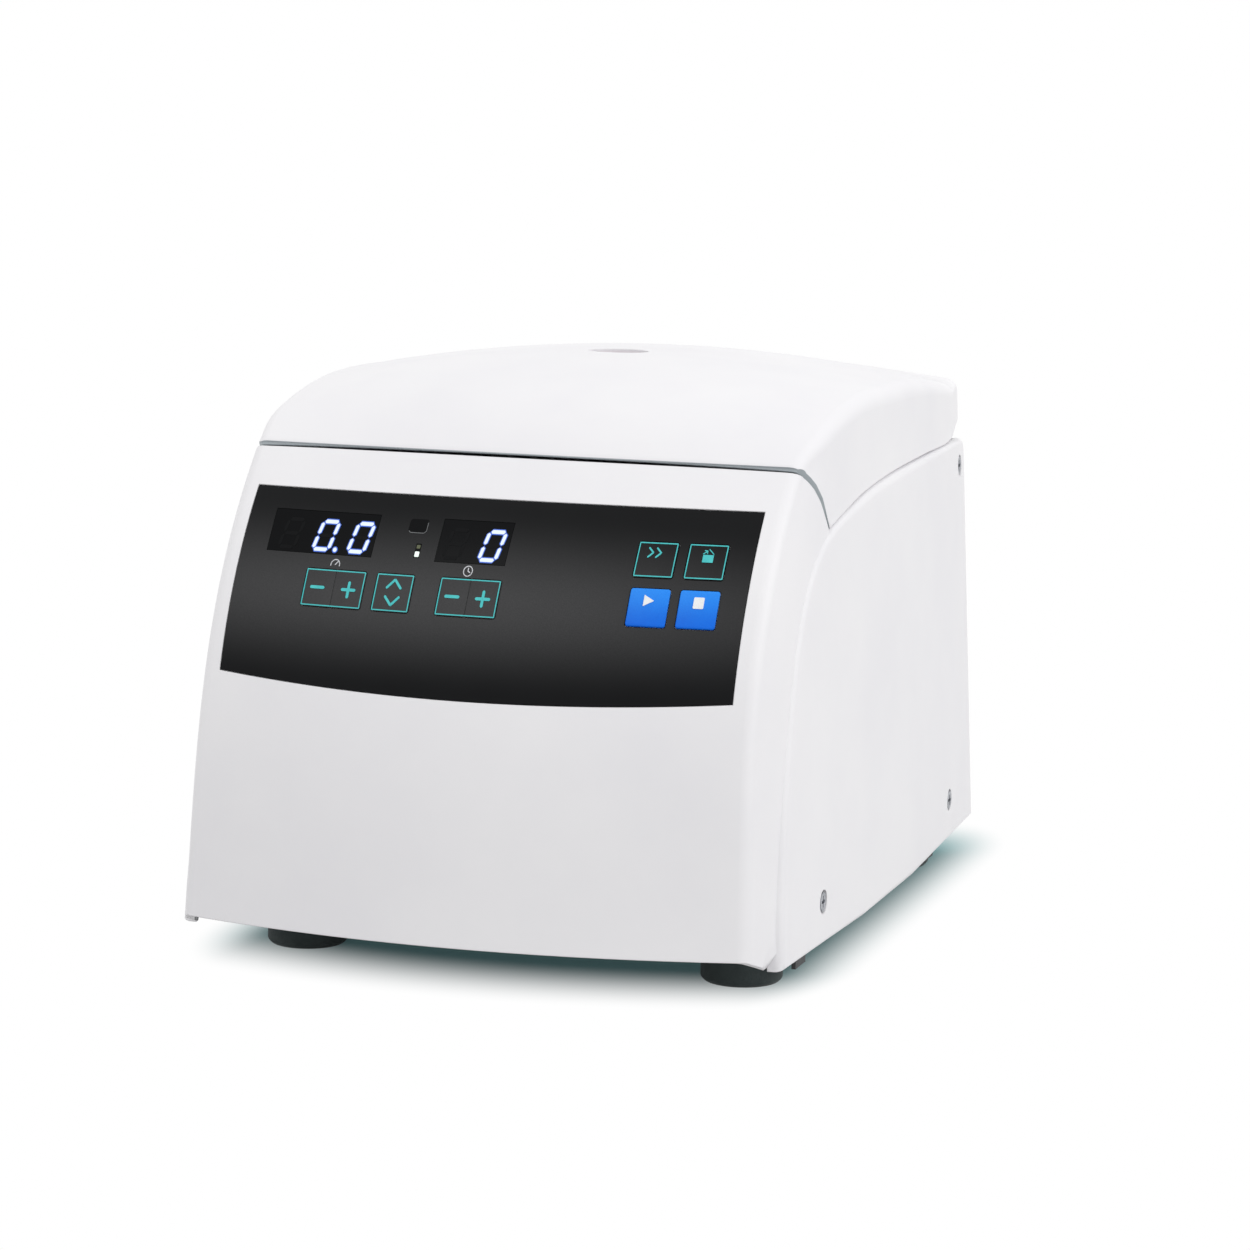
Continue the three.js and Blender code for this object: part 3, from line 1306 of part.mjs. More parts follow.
for (const [side, sign] of [['left', -1], ['right', 1]]) {
  piece(`front_${side}_foot`, makeFoot(sign * footPlaceX, footPlaceFront), rubber);
  piece(`rear_${side}_foot`, makeFoot(sign * footPlaceX, footPlaceRear), rubber);
}
piece('power_board', makePowerBoard(), boardGreen);
piece('rear_panel', makeRearPanel(), greyPaint);
piece('power_inlet', makeInlet(), darkPlastic);
piece('fuse_drawer', makeDrawer(), darkPlastic);
piece('power_rocker', makeRocker(), black);

export default part;
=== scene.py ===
"""Hematocrit centrifuge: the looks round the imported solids. +Z up, the front faces -Y.

Shapes are worked out in millimetres, as the solids are, and turned into metres at the end.
"""

import math

import bmesh
import bpy
from mathutils import Matrix, Vector


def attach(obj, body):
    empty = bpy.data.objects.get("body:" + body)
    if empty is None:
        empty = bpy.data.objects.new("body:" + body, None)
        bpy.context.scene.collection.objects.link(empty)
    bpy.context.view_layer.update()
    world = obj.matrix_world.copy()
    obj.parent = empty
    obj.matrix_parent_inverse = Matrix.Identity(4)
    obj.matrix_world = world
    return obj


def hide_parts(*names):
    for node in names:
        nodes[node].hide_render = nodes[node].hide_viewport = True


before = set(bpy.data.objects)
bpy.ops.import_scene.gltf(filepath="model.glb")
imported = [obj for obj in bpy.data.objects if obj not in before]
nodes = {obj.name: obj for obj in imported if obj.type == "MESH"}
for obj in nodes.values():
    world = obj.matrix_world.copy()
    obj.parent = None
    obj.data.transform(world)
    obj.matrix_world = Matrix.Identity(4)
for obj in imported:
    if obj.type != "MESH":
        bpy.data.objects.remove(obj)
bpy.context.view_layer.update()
MM = 0.001

# Camera at the photograph's place: angles in degrees, lengths in millimetres, image in its own pixels
PICTURE = 1250
CAMERA = {"azimuth": 17.48, "elevation": 8.53, "roll": 0.95, "distance": 1718.31, "focus": 4351.86,
          "centre": (619.13, 620.46), "aside": (-8.09, 7.71), "target": (0, 0, 110)}


def placed(name, data):
    """A new object in the scene."""
    item = bpy.data.objects.new(name, data)
    bpy.context.scene.collection.objects.link(item)
    return item


def direction(azimuth, elevation):
    """From the middle of the scene towards a place, by its angles in degrees."""
    turn, rise = math.radians(azimuth), math.radians(elevation)
    return Vector((math.sin(turn) * math.cos(rise), -math.cos(turn) * math.cos(rise), math.sin(rise)))


def make_camera():
    turn, roll = math.radians(CAMERA["azimuth"]), math.radians(CAMERA["roll"])
    back = direction(CAMERA["azimuth"], CAMERA["elevation"])
    level = Vector((math.cos(turn), math.sin(turn), 0))
    upright = back.cross(level)
    right = level * math.cos(roll) + upright * math.sin(roll)
    up = upright * math.cos(roll) - level * math.sin(roll)
    aside_x, aside_y = CAMERA["aside"]
    place = Vector(CAMERA["target"]) - right * aside_x + up * aside_y + back * CAMERA["distance"]
    data = bpy.data.cameras.new("camera")
    data.sensor_width = 36
    data.lens = CAMERA["focus"] / PICTURE * data.sensor_width
    data.shift_x = (PICTURE / 2 - CAMERA["centre"][0]) / PICTURE
    data.shift_y = (CAMERA["centre"][1] - PICTURE / 2) / PICTURE
    data.clip_start, data.clip_end = 0.05, 60
    camera = placed("camera", data)
    camera.matrix_world = Matrix([(right[axis], up[axis], back[axis], place[axis] * MM) for axis in range(3)]
                                 + [(0, 0, 0, 1)])
    bpy.context.scene.camera = camera


make_camera()

# Overall form
HALF_BODY, HALF_DEPTH, WALL = 121.5, 176.0, 3.5
CREST, CREST_Y, LID_LINE, DECK_TOP, LEDGE_TOP = 222.45, 40.0, 193.0, 176.5, 159.5
SIDE_BOTTOM, FRONT_BOTTOM, FRONT_EDGE = 16.4, 22.9, 5.0
CLEAR, OVERRUN, SHARP = 0.3, 12.0, 0.2
SIDE_BOW, SIDE_MIDDLE, SIDE_DRAFT, SIDE_PROUD, SIDE_EDGE = 8.0, -7.0, 0.05, 1.2, 3.5
LEAN = (27.301, -26.9, 74.001)
BOW_LOW, BOW_TOP = 16.7, 5.3
STRIP_LOW, STRIP_TOP, STRIP_RUN = 6.5, 4.3, 30.0
ARCH = [(-142, 16.4), (-139.8, 43), (-130, 88.61), (-110.2, 137.5), (-81, 164), (-31, 175),
        (17, 179.2), (80, 180.11), (140, 179.3), (168, 178.6)]
LID_WALL, LID_GAP, LID_RIM, LID_CROWN, LID_SHOULDER = 2.6, 1.0, 1.5, 10.6, 6.0
LID_REAR, LID_REAR_TOP, LID_REAR_RADIUS = 169.5, 212.1, 11.0
LID_LOW = LID_LINE + LID_GAP / 2
TONGUE = [(-101, LID_LOW), (-91, LID_LOW), (-78.5, 180), (-70.2, 168.6)]
LID_SIDE = [(-45, 173.5), (-19, 177.3), (25, 180.1), (84, 180.65), (141, 180.0), (160, 184.8), (169.5, 188)]
ROTOR_Y = 20.0
HINGE_Y, HINGE_Z, HINGE_X, HINGE_LEAF, HINGE_EYE = 160.5, 190.0, 62.0, 4.0, 5.8
POLE = (ROTOR_Y, (FRONT_BOTTOM + LID_LINE) / 2 - 2 * OVERRUN)
SHELL_DEPTHS = (0, 0.02, 0.05, 0.1, 0.18, 0.3, 0.5)
WALL_DEPTHS = (0, 0.05, 0.15, 0.3, 0.55)
FRONT_STEPS, LID_STEPS, ACROSS_STEPS, CORNER_STEPS = 40, 36, 28, 6
ARCH_STEPS, TONGUE_STEPS, ROUND_STEPS, PLAN_STEPS, PLAN_ACROSS = 60, 28, 8, 40, 24
ROOF_SLOPE, ROOF_START, ROOF_END, CROWN_PACE = 1.146, 0.27, 0.22, 2.4
RIM_STEPS, RIM_TALL, RIM_FADE, RIM_OUT, SIDE_RIM, TONGUE_FRONT = 6, 1.3, 14, 0.6, 0.4, -95
REAR_ROUND, WALL_LIFT = 6, 40
LEDGE_THICK, LEDGE_WIDE, LEDGE_FRONT, LEDGE_REAR = 2.5, 7, -62, 144
OPENING_HALF, OPENING_LOW, OPENING_TOP = 86, 30, 150
SCREWS = {"front": (-92.9, 32.8), "rear": (117.5, 33.4), "top": (161.2, 168)}
SCREW_HOLE, SCREW_HEAD, SCREW_SUNK, BOSS_RADIUS, BOSS_LAND, BOSS_RUN = 2.2, 4.5, 2.8, 6.2, 1.1, 6
# Cutters and rooms reach this far, past the whole body
PAST_X, PAST_SIDE, PAST_Y = 240, 200, 300
WELD, SMOOTH_BELOW = 0.002, math.radians(38)

# Panel
PANEL_MIDDLE, PANEL_HALF, PANEL_TOP, PANEL_LOW, PANEL_RISE = -0.5, 98.4, 178.6, 110.3, 3.8
PANEL_RECESS, FOIL_THICK = 1.6, 1.3
ROW_LOW, ROW_HIGH, ROW_DISPLAY = (139, 151.8), (155.6, 167.3), (157, 171.2)
KEY_PROUD, KEY_RAISED, KEY_THICK, SQUARE_STEPS = 0.25, 0.6, 1.15, 5
KEYS = {
    "speed_down": ((-69.8, -57.78), ROW_LOW), "speed_up": ((-57.72, -45.7), ROW_LOW),
    "unit": ((-41.2, -26.6), ROW_LOW), "time_down": ((-16.1, -4.58), ROW_LOW),
    "time_up": ((-4.52, 7.1), ROW_LOW), "pulse": ((55.3, 69.8), ROW_HIGH),
    "open": ((73.9, 88.2), ROW_HIGH), "start": ((55.8, 70.3), ROW_LOW), "stop": ((74, 88.3), ROW_LOW),
}
DISPLAYS = {"speed_display_window": (-88.3, -45.7), "time_display_window": (-20.4, 6.8)}
LIGHTS_X, LIGHTS_ROW = (-28.8, -27.0), (157.9, 162.4)


def side_x(y, z):
    along = (y - SIDE_MIDDLE) / HALF_DEPTH
    return HALF_BODY - SIDE_BOW * along ** 2 - SIDE_DRAFT * (z - SIDE_BOTTOM)


def front_share(z):
    return (z - FRONT_BOTTOM) / (LID_LINE - FRONT_BOTTOM)


def front_y(z):
    rise = front_share(z)
    return -HALF_DEPTH + LEAN[0] * rise + LEAN[1] * rise ** 2 + LEAN[2] * rise ** 3


def front_bow(z):
    return BOW_LOW + (BOW_TOP - BOW_LOW) * front_share(z)


def shell_x(y, z):
    height = min(z, LID_LINE)
    edge = front_y(height) + front_bow(height)
    near = min(1, max(0, 1 - (y - edge) / STRIP_RUN))
    strip_in = STRIP_LOW + (STRIP_TOP - STRIP_LOW) * max(0, front_share(height))
    return side_x(y, z) - SIDE_PROUD - strip_in * near ** 2


def new_mesh(name, places, faces):
    mesh = bpy.data.meshes.new(name)
    mesh.from_pydata([tuple(place) for place in places], [], faces)
    return mesh


def around(count):
    """The places of a ring with the place after each."""
    return [(index, (index + 1) % count) for index in range(count)]


def reshape(mesh, *changes):
    """Takes a mesh through changes, each a function of its open form."""
    shape = bmesh.new()
    shape.from_mesh(mesh)
    for change in changes:
        change(shape)
    shape.to_mesh(mesh)
    shape.free()


def turn_outward(shape):
    bmesh.ops.recalc_face_normals(shape, faces=shape.faces)
    if shape.calc_volume(signed=True) < 0:
        bmesh.ops.reverse_faces(shape, faces=shape.faces)


def split_wide(shape):
    bmesh.ops.triangulate(shape, faces=[face for face in shape.faces if len(face.verts) > 4])


def scale_down(shape):
    """From millimetres to metres, with doubled points merged and sharp edges marked."""
    bmesh.ops.remove_doubles(shape, verts=shape.verts, dist=WELD)
    bmesh.ops.dissolve_degenerate(shape, edges=shape.edges, dist=WELD)
    bmesh.ops.scale(shape, vec=(MM, MM, MM), verts=shape.verts)
    for face in shape.faces:
        face.smooth = True
    for edge in shape.edges:
        edge.smooth = len(edge.link_faces) == 2 and edge.calc_face_angle(0) < SMOOTH_BELOW


# Solids as objects in millimetres, for joining and cutting
def raw_solid(places, faces):
    mesh = new_mesh("solid", places, faces)
    reshape(mesh, turn_outward)
    return placed("solid", mesh)


def combined(base, tool, operation):
    """base joined with tool, cut by it, or kept only inside it. The tool is used up."""
    step = base.modifiers.new("shape", "BOOLEAN")
    step.operation = operation
    step.solver = "MANIFOLD"
    step.object = tool
    graph = bpy.context.evaluated_depsgraph_get()
    mesh = bpy.data.meshes.new_from_object(base.evaluated_get(graph))
    base.modifiers.clear()
    base.data = mesh
    bpy.data.objects.remove(tool)
    if not mesh.polygons:
        raise RuntimeError("a cut left nothing")
    return base


def joined(base, *tools):
    for tool in tools:
        base = combined(base, tool, "UNION")
    return base


def cut(base, *tools):
    for tool in tools:
        base = combined(base, tool, "DIFFERENCE")
    return base


def within(base, tool):
    return combined(base, tool, "INTERSECT")


def prism(rings):
    """A closed solid through rings of points, each ring with as many points."""
    count, last = len(rings[0]), len(rings[0]) * (len(rings) - 1)
    faces = [(low + index, low + after, low + count + after, low + count + index)
             for low in range(0, last, count) for index, after in around(count)]
    faces += [tuple(range(count))[::-1], tuple(range(last, last + count))]
    item = raw_solid([place for ring in rings for place in ring], faces)
    reshape(item.data, split_wide)
    return item


def drawn_x(points, start, end):
    return prism([[(x, y, z) for y, z in points] for x in (start, end)])


def drawn_z(points, start, end):
    return prism([[(x, y, z) for x, y in points] for z in (start, end)])


def block(low, high):
    return drawn_z([(low[0], low[1]), (high[0], low[1]), (high[0], high[1]), (low[0], high[1])],
                   low[2], high[2])


def turns(steps):
    """Angles at even steps round a full turn."""
    return [2 * math.pi * step / steps for step in range(steps)]


def quarter(steps):
    """Share, sine and cosine at even steps through a quarter turn."""
    angles = [step / steps * math.pi / 2 for step in range(steps + 1)]
    return [(step / steps, math.sin(angle), math.cos(angle)) for step, angle in enumerate(angles)]


def bar(radius, start, end, steps=48):
    start, end = Vector(start), Vector(end)
    run = (end - start).normalized()
    side = run.orthogonal().normalized()
    other = run.cross(side)
    return prism([[tuple(at + side * radius * math.cos(turn) + other * radius * math.sin(turn))
                   for turn in turns(steps)] for at in (start, end)])


def cross_bar(radius, start, end, y, z):
    return bar(radius, (start, y, z), (end, y, z))


def post(radius, low, high, steps=96):
    """An upright bar on the rotor's axis."""
    return bar(radius, (0, ROTOR_Y, low), (0, ROTOR_Y, high), steps)


def turned(profile, x, y, steps=96):
    """A body of revolution from closed (radius, height) points."""
    places, faces, rows = [], [], []
    for radius, z in profile:
        start = len(places)
        if radius < 1e-6:
            rows.append([start] * steps)
            places.append((x, y, z))
        else:
            rows.append(list(range(start, start + steps)))
            places += [(x + radius * math.cos(turn), y + radius * math.sin(turn), z) for turn in turns(steps)]
    for index, row in enumerate(rows):
        following = rows[(index + 1) % len(rows)]
        for step, after in around(steps):
            corners = [row[step], row[after], following[after], following[step]]
            face = [corner for at, corner in enumerate(corners) if corner not in corners[:at]]
            if len(face) > 2:
                faces.append(tuple(face))
    return raw_solid(places, faces)


def softened(profile, radius, steps=4):
    """A closed profile with its corners rounded, by less where its sides are short."""
    result = []
    count = len(profile)
    for index, (x, y) in enumerate(profile):
        before, after = profile[index - 1], profile[(index + 1) % count]
        here = Vector((x, y))
        back, on = Vector(before) - here, Vector(after) - here
        reach = min(radius, back.length * 0.4, on.length * 0.4)
        if reach < 1e-4 or x < 1e-6:
            result.append((x, y))
            continue
        start, end = here + back.normalized() * reach, here + on.normalized() * reach
        for step in range(steps + 1):
            share = step / steps
            point = start * (1 - share) ** 2 + here * 2 * share * (1 - share) + end * share ** 2
            result.append((point.x, point.y))
    return result


def curve(points, steps):
    """A cubic curve through its four control points."""
    result = []
    for step in range(steps + 1):
        t = step / steps
        shares = ((1 - t) ** 3, 3 * t * (1 - t) ** 2, 3 * t ** 2 * (1 - t), t ** 3)
        result.append(tuple(sum(share * point[axis] for share, point in zip(shares, points))
                            for axis in (0, 1)))
    return result


def spline(points, steps):
    """A smooth line through all the points."""
    result = []
    for step in range(steps + 1):
        place = (len(points) - 1) * step / steps
        index = min(int(place), len(points) - 2)
        t = place - index
        near = [points[min(max(index + shift, 0), len(points) - 1)] for shift in (-1, 0, 1, 2)]
        point = []
        for axis in (0, 1):
            p0, p1, p2, p3 = (corner[axis] for corner in near)
            v0, v1 = (p2 - p0) / 2, (p3 - p1) / 2
            point.append((2 * p1 - 2 * p2 + v0 + v1) * t ** 3 + (-3 * p1 + 3 * p2 - 2 * v0 - v1) * t ** 2
                         + v0 * t + p1)
        result.append(tuple(point))
    return result


def inset_outline(outline, inset):
    """An outline drawn in all round, for the room inside it."""
    result = []
    for index, (y, z, bow_y, bow_z, radius) in enumerate(outline):
        before, after = outline[index - 1], outline[(index + 1) % len(outline)]
        run = math.hypot(after[0] - before[0], after[1] - before[1])
        result.append((y + inset * (after[1] - before[1]) / run, z - inset * (after[0] - before[0]) / run,
                       bow_y, bow_z, max(radius - inset, SHARP)))
    return result


def loaf(outline, half_width, depths):
    """An outline in side view, bowed across, with rounded edges and bowed flanks."""
    columns = []
    for y0, z0, bow_y, bow_z, radius in outline:
        corner_y, corner_z = y0 + bow_y, z0 + bow_z
        reach = math.hypot(POLE[0] - corner_y, POLE[1] - corner_z)
        in_y, in_z = (POLE[0] - corner_y) / reach, (POLE[1] - corner_z) / reach
        half = half_width(corner_y + in_y * radius, corner_z + in_z * radius)
        column = []
        for share in reversed(depths):
            depth = radius + share * (reach - radius)
            y, z = corner_y + in_y * depth, corner_z + in_z * depth
            column.append((half_width(y, z), y, z))
        flat = half - radius
        spots = [(flat + radius * sine, radius * (1 - cosine))
                 for _, sine, cosine in quarter(CORNER_STEPS)[-2:0:-1]]
        spots += [(flat * (1 - 2 * step / ACROSS_STEPS), 0) for step in range(ACROSS_STEPS // 2 + 1)]
        for x, depth in spots:
            share = (x / half) ** 2
            column.append((x, y0 + bow_y * share + in_y * depth, z0 + bow_z * share + in_z * depth))
        columns.append(column + [(-x, y, z) for x, y, z in reversed(column[:-1])])
    rows = len(columns[0])
    places = [place for column in columns for place in column]
    pole_half = half_width(*POLE)
    right_pole, left_pole = len(places), len(places) + 1
    places += [(pole_half, *POLE), (-pole_half, *POLE)]
    faces = []
    for index in range(len(columns)):
        here, following = index * rows, (index + 1) % len(columns) * rows
        faces += [(right_pole, here, following), (left_pole, following + rows - 1, here + rows - 1)]
        for row in range(rows - 1):
            faces.append((here + row, here + row + 1, following + row + 1, following + row))
    return raw_solid(places, faces)


def hull(outline, wall=0):
    """The body's form under an outline or, with wall, the room inside it."""
    if not wall:
        return loaf(outline, shell_x, SHELL_DEPTHS)
    return loaf(inset_outline(outline, wall), lambda y, z: shell_x(y, z) - wall, SHELL_DEPTHS)


def point_at(outline, height):
    """An outline's point at a height, on its first side that passes there."""
    for first, second in zip(outline, outline[1:]):
        if first[1] <= height <= second[1]:
            share = (height - first[1]) / (second[1] - first[1])
            return [a + (b - a) * share for a, b in zip(first, second)]
    return list(outline[0])


def roof_outline(rim):
    """Over the lid from its front edge to the back. With rim, the front edge turns in at the bottom."""
    edge = (front_y(LID_LINE), LID_LINE)
    run = CREST_Y - edge[0]
    slope = ROOF_SLOPE * (LID_LINE - FRONT_BOTTOM) / (LEAN[0] + 2 * LEAN[1] + 3 * LEAN[2])
    rising = curve([edge, (edge[0] + ROOF_START * run, edge[1] + ROOF_START * run * slope),
                    (CREST_Y - ROOF_END * run, CREST), (CREST_Y, CREST)], LID_STEPS)
    outline = []
    for step, (y, z) in enumerate(rising):
        share = step / LID_STEPS
        turn = 1 - max(0.0, 1 - CROWN_PACE * share) ** 2
        outline.append((y, z, BOW_TOP * (1 - turn), -LID_CROWN * turn,
                        FRONT_EDGE + (LID_SHOULDER - FRONT_EDGE) * share))
    if rim:
        lip = []
        for _, sine, cosine in quarter(RIM_STEPS):
            point = point_at(outline, LID_LOW + rim * (1 - cosine) * RIM_TALL)
            point[0] += rim * (1 - sine)
            lip.append(tuple(point))
        under = (lip[0][0], LID_LOW - 2, lip[0][2], 0, FRONT_EDGE)
        outline = [under] + lip + [point for point in outline if point[1] > lip[-1][1] + CLEAR]
    rear_run = LID_REAR - LID_REAR_RADIUS - CREST_Y
    falling = curve([(CREST_Y, CREST), (CREST_Y + rear_run / 3, CREST),
                     (CREST_Y + 2 * rear_run / 3, CREST - (CREST - LID_REAR_TOP) / 2),
                     (CREST_Y + rear_run, LID_REAR_TOP)], LID_STEPS)
    outline += [(y, z, 0, -LID_CROWN, LID_SHOULDER) for y, z in falling[1:]]
    for share, sine, cosine in quarter(ROUND_STEPS)[1:]:
        outline.append((LID_REAR - LID_REAR_RADIUS * (1 - sine),
                        LID_REAR_TOP - LID_REAR_RADIUS * (1 - cosine), 0, -LID_CROWN * (1 - share),
                        LID_SHOULDER + (FRONT_EDGE - LID_SHOULDER) * share))
    return outline + [(LID_REAR, z, 0, 0, FRONT_EDGE)
                      for z in (LID_LINE - OVERRUN, (LID_LINE + FRONT_BOTTOM) / 2)]


def closing(low):
    outline = [(LID_REAR, low, 0, 0, SHARP), (CREST_Y, low, 0, 0, SHARP), (-CREST_Y, low, 0, 0, SHARP)]
    if low < FRONT_BOTTOM:
        outline.append((front_y(FRONT_BOTTOM), low, BOW_LOW, 0, SHARP))
    return outline


def shell_outline(low):
    heights = (FRONT_BOTTOM + (LID_LINE - FRONT_BOTTOM) * step / FRONT_STEPS for step in range(FRONT_STEPS))
    return [(front_y(z), z, front_bow(z), 0, FRONT_EDGE) for z in heights] + roof_outline(0) + closing(low)


def wall_outline(low, lift):
    """The side walls in side view. lift raises the top of the arch, for the room inside."""
    outline = [list(point) for point in spline(ARCH, ARCH_STEPS)]
    top = ARCH[-1][1]
    outline += [[HALF_DEPTH - REAR_ROUND * (1 - sine), top - REAR_ROUND * (1 - cosine)]
                for _, sine, cosine in quarter(ROUND_STEPS)[1:]]
    outline += [[HALF_DEPTH, (top + low) / 2], [HALF_DEPTH, low], [CREST_Y, low], [-CREST_Y, low]]
    outline[0][1] = low
    return [(y, z + (lift if y > ARCH[4][0] and z > LEDGE_TOP else 0), 0, 0, SIDE_EDGE) for y, z in outline]


TONGUE_LINE = curve(TONGUE, TONGUE_STEPS)


def plan(z, set_in, front, rear, bow=0.0):
    """Plan outline of the body at one height, set in from its surface."""
    right = []
    for step in range(PLAN_STEPS + 1):
        y = front + bow + (rear - front - bow) * step / PLAN_STEPS
        right.append((shell_x(y, z) - set_in, y))
    across = []
    for step in range(1, PLAN_ACROSS):
        share = 1 - 2 * step / PLAN_ACROSS
        across.append(((shell_x(front + bow, z) - set_in) * share, front + bow * share ** 2))
    return right + [(-x, y) for x, y in reversed(right)] + across[::-1]


# Points on the front face
def front_half(z):
    corner_y = front_y(z) + front_bow(z)
    share = FRONT_EDGE / math.hypot(POLE[0] - corner_y, POLE[1] - z)
    return shell_x(corner_y + (POLE[0] - corner_y) * share, z + (POLE[1] - z) * share)


def front_face(x, z):
    return Vector((x, front_y(z) + front_bow(z) * (x / front_half(z)) ** 2, z))


def front_normal(x, z):
    along = front_face(x + CLEAR, z) - front_face(x - CLEAR, z)
    up = front_face(x, z + CLEAR) - front_face(x, z - CLEAR)
    return along.cross(up).normalized()


def front_point(x, z, out):
    return tuple(front_face(x, z) + front_normal(x, z) * out)


def front_patch(span, low, high, out, inner, across, up):
    """A slab between two depths along the front face. low and high give heights at a place along it."""
    places, faces = [], []
    for depth in (out, inner):
        for column in range(across + 1):
            x = span[0] + (span[1] - span[0]) * column / across
            places += [front_point(x, low(x) + (high(x) - low(x)) * row / up, depth) for row in range(up + 1)]

    def face(*corners):
        faces.append(tuple((layer * (across + 1) + column) * (up + 1) + row
                           for layer, column, row in corners))

    for here, on in zip(range(across), range(1, across + 1)):
        for row in range(up):
            face((0, here, row), (0, on, row), (0, on, row + 1), (0, here, row + 1))
            face((1, here, row + 1), (1, on, row + 1), (1, on, row), (1, here, row))
        face((1, here, 0), (1, on, 0), (0, on, 0), (0, here, 0))
        face((0, here, up), (0, on, up), (1, on, up), (1, here, up))
    for row in range(up):
        face((0, 0, row), (0, 0, row + 1), (1, 0, row + 1), (1, 0, row))
        face((1, across, row), (1, across, row + 1), (0, across, row + 1), (0, across, row))
    return raw_solid(places, faces)


def panel_patch(grow, out, inner):
    def low(x):
        return PANEL_LOW - grow + PANEL_RISE * ((x - PANEL_MIDDLE) / PANEL_HALF) ** 2

    def high(x):
        return PANEL_TOP + grow

    span = (PANEL_MIDDLE - PANEL_HALF - grow, PANEL_MIDDLE + PANEL_HALF + grow)
    return front_patch(span, low, high, out, inner, 56, 24)


def square_patch(span, row, grow, out, inner, across=12, up=6):
    return front_patch((span[0] - grow, span[1] + grow), lambda x: row[0] - grow, lambda x: row[1] + grow,
                       out, inner, across, up)


def rounded_square(span, row, radius, inset=0.0):
    """Corners of a rounded square on the front face, as (x, z)."""
    radius = max(radius - inset, 0.05)
    points = []
    for start, ends in enumerate(((1, 1), (0, 1), (0, 0), (1, 0))):
        middle = [edges[end] + (1 - 2 * end) * (inset + radius) for edges, end in zip((span, row), ends)]
        for step in range(SQUARE_STEPS + 1):
            turn = (start + step / SQUARE_STEPS) * math.pi / 2
            points.append((middle[0] + radius * math.cos(turn), middle[1] + radius * math.sin(turn)))
    return points


def on_front(points, out):
    return [front_point(x, z, out) for x, z in points]


# Materials
SPECK = 0.12


def fill(tree, target, value):
    """Gives an input a value, or a link where the value is another node's output."""
    if isinstance(value, bpy.types.NodeSocket):
        tree.links.new(value, target)
    else:
        target.default_value = value


def node(tree, kind, *values, **named):
    """A new shader node with its settings and inputs. Inputs are filled in turn or by name."""
    made = tree.nodes.new("ShaderNode" + kind)
    for key, value in named.items():
        title = key.replace("_", " ")
        if title in made.inputs:
            fill(tree, made.inputs[title], value)
        else:
            setattr(made, key, value)
    for target, value in zip(made.inputs, values):
        fill(tree, target, value)
    return made


def result(tree, kind, *values, **named):
    """The first output in use of a new shader node."""
    return next(output for output in node(tree, kind, *values, **named).outputs if output.enabled)


def object_place(tree):
    return node(tree, "TexCoord").outputs["Object"]


def vector_steps(tree, at, *steps):
    """A vector taken through sums, each an operation with the second value that it may need."""
    for operation, *value in steps:
        at = result(tree, "VectorMath", at, *value, operation=operation)
    return at


def colour(red, green, blue):
    """A colour as it shows on screen, from 0 to 255, in the renderer's own scale."""
    def linear(value):
        value /= 255
        return value / 12.92 if value <= 0.04045 else ((value + 0.055) / 1.055) ** 2.4
    return (linear(red), linear(green), linear(blue), 1)


def material(name):
    """A new material, its tree and the inputs of its shader."""
    made = bpy.data.materials.new(name)
    made.use_nodes = True
    return made, made.node_tree, made.node_tree.nodes["Principled BSDF"].inputs


def surface(name, low, high, rough, metal=0.0, patch=60, grain=2600, bump=2e-5, edge=4e-4,
            stretch=(1, 1, 1), specular=0.5, coat=0.0, coat_rough=0.1, sheen=0.0):
    """A finish with patches of two near colours, uneven roughness, a fine grain and softened edges."""
    made, tree, inputs = material(name)
    place = result(tree, "Mapping", object_place(tree), Scale=stretch)
    broad = result(tree, "TexNoise", place, Scale=patch, Detail=4.0, Roughness=0.55)
    fine = result(tree, "TexNoise", place, Scale=grain, Detail=3.0, Roughness=0.6)
    ramp = node(tree, "ValToRGB", broad)
    for stop, position, shade in zip(ramp.color_ramp.elements, (0.35, 0.65), (low, high)):
        stop.position, stop.color = position, colour(*shade)
    soft = {"Normal": result(tree, "Bevel", Radius=edge, samples=6)} if edge else {}
    looks = {
        "Base Color": ramp.outputs["Color"], "Roughness": result(tree, "MapRange", fine, 0.3, 0.7, *rough),
        "Normal": result(tree, "Bump", Strength=1.0, Distance=bump, Height=fine, **soft),
        "Metallic": metal, "Specular IOR Level": specular, "Coat Weight": coat, "Coat Roughness": coat_rough,
        "Sheen Weight": sheen,
    }
    for title, value in looks.items():
        fill(tree, inputs[title], value)
    return made


def painted_highlight_band(made, tint, middle, reach, share):
    """A painted highlight: a paler, speckled band across a finish, where a soft reflection shows on a satin
    printed film. Places are in metres.
    """
    tree = made.node_tree
    shade = tree.nodes["Principled BSDF"].inputs["Base Color"]
    place = object_place(tree)
    far = vector_steps(tree, place, ("SUBTRACT", middle), ("DIVIDE", reach), ("LENGTH",))
    fade = result(tree, "MapRange", far, interpolation_type="SMOOTHSTEP", To_Min=share, To_Max=0.0)
    speck = result(tree, "TexNoise", place, Scale=2400.0, Detail=2.0)
    level = result(tree, "MapRange", speck, 0.3, 0.7, 0.8, 1.0)
    amount = result(tree, "Math", fade, level, operation="MULTIPLY")
    plain = shade.links[0].from_socket
    fill(tree, shade, result(tree, "Mix", data_type="RGBA", Factor=amount, A=plain, B=colour(*tint)))


